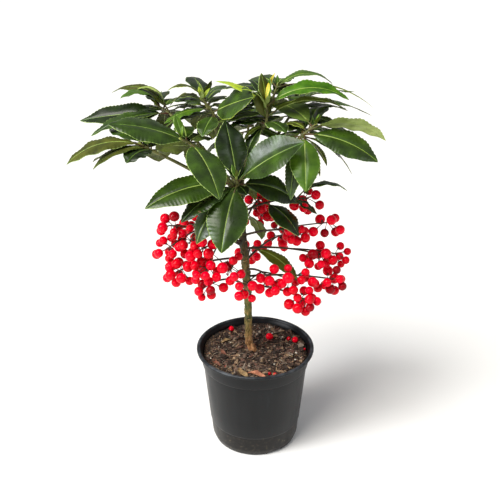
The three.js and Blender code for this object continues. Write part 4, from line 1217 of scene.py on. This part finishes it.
def add_chips(heap):
    source = np.random.default_rng(33)
    for _ in range(CHIPS):
        reach = (SOIL_RADIUS - CHIP_MARGIN) * math.sqrt(source.uniform(0, 1))
        bearing = source.uniform(0, 2 * math.pi)
        x, y = reach * math.cos(bearing), reach * math.sin(bearing)
        large = source.uniform() ** 3
        long_side = mix(*CHIP_SIDE, large)
        kind = source.choice(CHIP_KINDS, p=CHIP_SHARES)
        if kind == GRIT:
            long_side = min(long_side, 2)
        thick = mix(*CHIP_THICK, large) * source.uniform(0.6, 1.2)
        size = np.array([long_side, long_side * source.uniform(0.35, 0.85), thick]) / 2
        corners = CHIP_CORNERS * size * source.uniform(0.55, 1.15, (8, 3))
        corners = corners @ turned(source.uniform(0, 2 * math.pi), *source.normal(0, 0.45, 2)).T
        height = float(bed_height(x, y)) + size[2] * source.uniform(0, 1.4)
        heap.add(corners + [x, y, height], [(CHIP_FACES, kind)])
    for _ in range(FIBRES):
        reach = (SOIL_RADIUS - FIBRE_MARGIN) * math.sqrt(source.uniform(0, 1))
        bearing, yaw = source.uniform(*ANY_PHASE), source.uniform(*ANY_PHASE)
        length = source.uniform(*FIBRE_LENGTH)
        x, y = reach * math.cos(bearing), reach * math.sin(bearing)
        t = np.linspace(-0.5, 0.5, 7)
        bend = source.uniform(*FIBRE_BEND)
        px = x + length * t * math.cos(yaw) - bend * length * t * t * math.sin(yaw)
        py = y + length * t * math.sin(yaw) + bend * length * t * t * math.cos(yaw)
        pz = bed_height(px, py) + source.uniform(*FIBRE_LIFT)
        kind = source.choice([DARK_CHIP, BROWN_CHIP, TAN_CHIP, GREY_FIBRE])
        add_limb(heap, np.stack([px, py, pz], 1), source.uniform(*FIBRE_RADIUS), 5, kind)
    for i, (bearing, reach, size) in enumerate(GRAINS):
        middle = on_bed(*around((0, 0), bearing, reach, 0)[:2], 0.8)
        add_ball(heap, middle, direction(50 * i, 30), (size / 2, size / 2.6), GRIT, 9, 6)


# Fallen berries lie on the mix: bearing and reach from the pot's axis, radius and finish
FALLEN = [
    (122, 48, 2.9, SCARLET), (58, 28.8, 3.9, SCARLET), (31, 41.4, 2.2, CRIMSON), (22, 45.3, 3.3, SCARLET),
    (3, 51.2, 1.3, CRIMSON), (-141, 39, 0.9, CRIMSON), (-71, 42.7, 1.8, DEEP_RED), (-65, 45, 1.8, CRIMSON),
]


def add_fallen(heap):
    for i, (bearing, reach, radius, mark) in enumerate(FALLEN):
        centre = on_bed(*around((0, 0), bearing, reach, 0)[:2], 0.8 * radius)
        add_ball(heap, centre, direction(70 * i, 20), (radius, radius * 0.94), mark)


PINK, CREAM, SALMON = range(3)
# Shed scraps of leaf: x and y of both ends, width, height of its arch, cup across it, and finish
SCRAPS = [(-8, -35, 11, -47, 6.5, 3.2, 0.7, PINK), (-44, -13.5, -35.5, -26, 4.6, 1.2, 0.5, SALMON),
          (-17.4, -25.5, -8, -46.5, 6.4, 1.0, 0.35, CREAM), (-27.4, -27, -22, -42, 3.0, 1.2, 0.3, CREAM),
          (-30, -8, -36, 0, 3.4, 1.0, 0.4, SALMON), (14, 24, 24, 30, 3.6, 1.4, 0.5, CREAM),
          (-26, 22, -36, 16, 4, 1.4, 0.4, CREAM), (30, -8, 38, -14, 3, 1.2, 0.4, CREAM)]
SCRAP_ROWS, SCRAP_COLUMNS = 15, 9
SCRAP_THICK = 0.35
SCRAP_LIFT = 1.1
# The ragged edge of a scrap, its sway and the ripples across it, and the phases they start from
SCRAP_RAGGED, SCRAP_SWAY, SCRAP_RIPPLE = (0.12, 15), 0.12, (0.25, 17, 3)
SCRAP_PHASE = (0, 6)


def add_scrap(heap, row, dice):
    x1, y1, x2, y2, width, arch, cup, mark = row
    start, end = on_bed(x1, y1, SCRAP_LIFT), on_bed(x2, y2, SCRAP_LIFT)
    ahead = end - start
    side = unit(np.cross(ahead, UP))
    share = np.linspace(0, 1, SCRAP_ROWS)[:, None]
    across = np.linspace(-1, 1, SCRAP_COLUMNS)[None]
    half = 0.5 * width * np.maximum(0.08, np.sin(math.pi * share)) ** 0.7
    half = half * (1 + SCRAP_RAGGED[0] * np.sin(SCRAP_RAGGED[1] * share + dice.roll(*SCRAP_PHASE)))
    rise = 2.4 * arch * share * (1 - share) + cup * half * (across ** 2 - 0.3)
    rise = rise + SCRAP_RIPPLE[0] * np.cos(SCRAP_RIPPLE[1] * across + SCRAP_RIPPLE[2] * share)
    sway = SCRAP_SWAY * width * np.sin(2 * math.pi * share + dice.roll(*SCRAP_PHASE))
    top = (start + ahead * share[:, :, None] + side * (half * across + sway)[:, :, None]
           + UP * rise[:, :, None]).reshape(-1, 3)
    faces = grid_faces(SCRAP_ROWS, SCRAP_COLUMNS, False).reshape(-1, 4)
    count = len(top)
    corner = count - SCRAP_COLUMNS
    rim = np.concatenate([np.arange(SCRAP_COLUMNS), np.arange(2, SCRAP_ROWS) * SCRAP_COLUMNS - 1,
                          np.arange(count - 1, corner, -1), np.arange(corner, 0, -SCRAP_COLUMNS)])
    after = np.roll(rim, -1)
    wall = np.stack([rim, after, after + count, rim + count], 1)
    heap.add(np.vstack([top, top - UP * SCRAP_THICK]),
             [(faces, mark), (faces[:, ::-1] + count, mark), (wall, mark)])


# Moulded polypropylene: slate black with a soft sheen and faint drips about 9 mm wide, dust and grime in
# specks of 3 mm on its foot band, and a rim top painted lighter grey: painted sheen of the bright sky it
# reflects, with some rubbing from handling
GRIME_END, RIM_SHEEN_FROM, GRIME_UNEVEN = (27, 33), (105.2, 106.6), 12


def pot_finish():
    finish, tree, shader, place = start_finish("black_plastic_and_rim_sheen", IOR=1.49, Specular_IOR_Level=0.24)
    height = add(tree, "ShaderNodeSeparateXYZ", {"Vector": place})["Z"]
    tall = add(tree, "ShaderNodeMapping", {"Vector": place, "Scale": (1, 1, 0.2)})["Vector"]
    drips, dust, border, fine = [
        add(tree, "ShaderNodeTexNoise", {"Vector": at, "Scale": 1 / (size * METRE), "Detail": detail})["Fac"]
        for at, size, detail in ((tall, 9.0909, 4), (place, 3.3333, 6), (place, 20, 3), (place, 1, 3))]
    plastic, grime, rim_wear_and_sheen = [
        add(tree, "ShaderNodeValToRGB", {"Fac": pattern}, stops)["Color"] for pattern, stops in (
            (drips, [(0.35, "#08090b"), (0.8, "#1a1d20"), (0.62, "#0f1113")]),
            (dust, [(0.34, "#100e0c"), (0.8, "#857b5c"), (0.56, "#191613"), (0.66, "#2c2820")]),
            # Rim top: lighter grey, a painted sheen of the bright sky, with some rubbing
            (drips, [(0.35, "#1c1f22"), (0.7, "#4c5156"), (0.5, "#2e3236")]))]
    ragged = {0: border, 1: GRIME_UNEVEN * METRE, 2: height}
    uneven = add(tree, "ShaderNodeMath", ragged, operation="MULTIPLY_ADD")[0]
    both = layer(tree, uneven, GRIME_END, grime, plastic)
    # From 105.2 mm up, the rim is painted lighter grey: painted sheen, with some rubbing
    worn_and_sheen = layer(tree, height, RIM_SHEEN_FROM, both, rim_wear_and_sheen)
    end_finish(tree, shader, worn_and_sheen, drips, (0.32, 0.46), fine, 0.03)
    return finish


# Potting mix: damp peat and composted bark, dull and dark with paler broken faces, and chalky white perlite
CHIP_LOOKS = [
    ("bark_chip_dark", "#1d1410", "#3f2f24"), ("bark_chip_brown", "#463429", "#735c4b"),
    ("bark_chip_tan", "#77604a", "#a58c6d"), ("wood_fibre_grey", "#6b5f52", "#9d8e7c"),
    ("bark_chip_reddish", "#51362c", "#7a5546"),
]
mix_finishes = [
    mottled("peat_crumbs", [(0.3, "#0c0806"), (0.75, "#80684c"), (0.5, "#291d13"), (0.63, "#523f2b")], 1.7,
            (0.85, 0.95), 0.9, 0.4),
    *[mottled(name, [(0.3, dark), (0.7, light)], 2.5, (0.8, 0.9), 0.7, 0.15)
      for name, dark, light in CHIP_LOOKS],
    mottled("perlite_grit", [(0.3, "#c9c1ae"), (0.7, "#efe9da")], 1.5, (0.85, 0.95), 0.5, 0.12),
]
# Shed leaves: dry and thin, with no wax left, so they look matt and mottled
scrap_finishes = [
    mottled("shed_leaf_pink", [(0.3, "#7a452c"), (0.75, "#e0b094"), (0.55, "#b07350")],
            6, (0.55, 0.7), 0.8, 0.08),
    mottled("shed_leaf_cream", [(0.3, "#6b5638"), (0.75, "#c4ae84"), (0.55, "#9a8158")],
            4, (0.65, 0.8), 0.8, 0.1),
    mottled("shed_leaf_salmon", [(0.3, "#5e3526"), (0.7, "#946048")], 4, (0.6, 0.75), 0.8, 0.08),
]
# Scars of fallen leaves: dry pale cork
trunk_finishes = [
    bark_finish(),
    mottled("leaf_scar_tan", [(0.3, "#8a7444"), (0.7, "#b89e6c")], 3, (0.6, 0.75), 0.8, 0.1),
]

# Assembly
BOUGH_ROWS, STEM_ROWS, TWIG_ROWS = 26, 14, 18
FINE_STEM = (1.35, 0.95)
STEM_SUNK = 0.2
KNOT_SWELL, KNOT_TURN = 0.10, 9.5
BUD_RADII, BUD_RISE = (1.25, 2.2), 0.9
TWIG_RADIUS, SIDE_TWIG_RADIUS = (1.2, 0.75), (0.85, 0.6)
BERRY_SEEDS = (400, 37)
SCRAP_SEEDS = (60, 7)


# Each bough with its stem, which starts inside the bough's end, and the bud at its tip
def add_boughs(heap):
    for shoot in shoots:
        curve = arc(*shoot["bough"], BOUGH_ROWS)
        swell = 1 + KNOT_SWELL * np.abs(np.sin(np.linspace(0, KNOT_TURN, BOUGH_ROWS + 1)))
        add_limb(heap, curve, np.linspace(*BOUGH_RADIUS, BOUGH_ROWS + 1) * swell, 14, 0)
        stem = arc(*shoot["stem_curve"], STEM_ROWS)
        add_limb(heap, np.vstack([curve[-1:] - (stem[1] - stem[0]) * STEM_SUNK, stem]),
                 np.append(BOUGH_RADIUS[1], np.linspace(*FINE_STEM, STEM_ROWS + 1)), 12, 0)
        end = unit(stem[-1] - stem[-2])
        add_ball(heap, stem[-1] + end * BUD_RISE, end, BUD_RADII, 1, 10, 8)


def add_scraps(heap):
    for row, dice in with_dice(SCRAPS, *SCRAP_SEEDS):
        add_scrap(heap, row, dice)


def filled(maker, *hosts):
    heap = Heap()
    maker(heap, *hosts)
    return heap


joined("trunk_bark_and_shade", filled(add_trunk), trunk_finishes, ["trunk"])
joined("boughs_and_shoots", filled(add_boughs), wood_finishes,
       ["bough_" + row[0] for row in SHOOTS])
for shoot in shoots:
    name = shoot["name"]
    joined("foliage_" + name, filled(add_leaves, shoot), leaf_finishes, ["leaves_" + name])
berry_heap, stalk_heap, low_leaves = Heap(), Heap(), Heap()
for spray, dice in with_dice(sprays, *BERRY_SEEDS):
    for j, curve in enumerate(spray["curves"]):
        radii = np.linspace(*(TWIG_RADIUS if j == 0 else SIDE_TWIG_RADIUS), TWIG_ROWS + 1)
        add_limb(stalk_heap, arc(*curve, TWIG_ROWS), radii, 9, TWIG_BARK)
    for berry in spray["berries"] + spray["bare_stalks"]:
        add_berry(berry_heap, stalk_heap, berry, dice)
    add_leaves(low_leaves, spray)
joined("berries", berry_heap, berry_finishes, ["fruit_" + row[0] for row in SPRAYS])
joined("berry_stalks", stalk_heap, stalk_finishes)
joined("foliage_low", low_leaves, leaf_finishes)
joined("nursery_pot", filled(add_pot), [pot_finish()], ["pot"])
joined("mix_bed", filled(add_bed), mix_finishes[:1], ["potting_mix"])
joined("mix_chips", filled(add_chips), mix_finishes, smooth=False)
joined("fallen_berries", filled(add_fallen), berry_finishes)
joined("shed_leaf_scraps", filled(add_scraps), scrap_finishes)

# Floor, light and camera: plain matt paper, pale and without a sheen, under soft studio light
FLOOR_HALF = 8.0
floor_mesh = bpy.data.meshes.new("studio_floor")
floor_corners = [(x * FLOOR_HALF, y * FLOOR_HALF, 0) for x, y in ((-1, -1), (1, -1), (1, 1), (-1, 1))]
floor_mesh.from_pydata(floor_corners, [], [(0, 1, 2, 3)])
floor_mesh.materials.append(
    mottled("pale_paper_floor", [(0.3, "#f4f4f2"), (0.7, "#f8f8f7")], 300, (0.85, 0.95), 3, 0.02))
floor = bpy.data.objects.new("studio_floor", floor_mesh)
bpy.context.scene.collection.objects.link(floor)

world = bpy.data.worlds.new("studio_light")
bpy.context.scene.world = world
world.use_nodes = True
world.node_tree.nodes["Background"].inputs["Color"].default_value = linear("#fbfcff")
world.node_tree.nodes["Background"].inputs["Strength"].default_value = SKY_STRENGTH


def add_light(name, kind, place, aim, power, colour, **shape):
    lamp = bpy.data.lights.new(name, kind)
    lamp.energy = power
    lamp.color = linear(colour)[:3]
    for key, value in shape.items():
        setattr(lamp, key, value)
    holder = bpy.data.objects.new(name, lamp)
    bpy.context.scene.collection.objects.link(holder)
    holder.location = place
    holder.rotation_euler = (Vector(aim) - Vector(place)).to_track_quat("-Z", "Y").to_euler()


add_light("key_light", "SUN", (-0.7, -0.5, 1.25), (0, 0, 0), 3.5, "#fffbf4", angle=math.radians(42))
add_light("side_light", "AREA", (-1.25, -0.65, 0.85), (0, 0, 0.28), 13, "#f6faff", shape="DISK", size=0.55)
add_light("fill_light", "AREA", (1.1, -0.6, 0.9), (0, 0, 0.28), 2, "#f4f8ff", shape="DISK", size=0.6)

camera_data = bpy.data.cameras.new("camera")
camera_data.lens = LENS
camera_data.sensor_width = SENSOR
camera_data.clip_start, camera_data.clip_end = 0.01, 50
camera = bpy.data.objects.new("camera", camera_data)
camera.location = [value * METRE for value in CAMERA_PLACE]
camera.rotation_euler = (math.radians(90 - CAMERA_PITCH), 0, 0)
bpy.context.scene.collection.objects.link(camera)
bpy.context.scene.camera = camera
bpy.context.scene.view_settings.view_transform = "Standard"
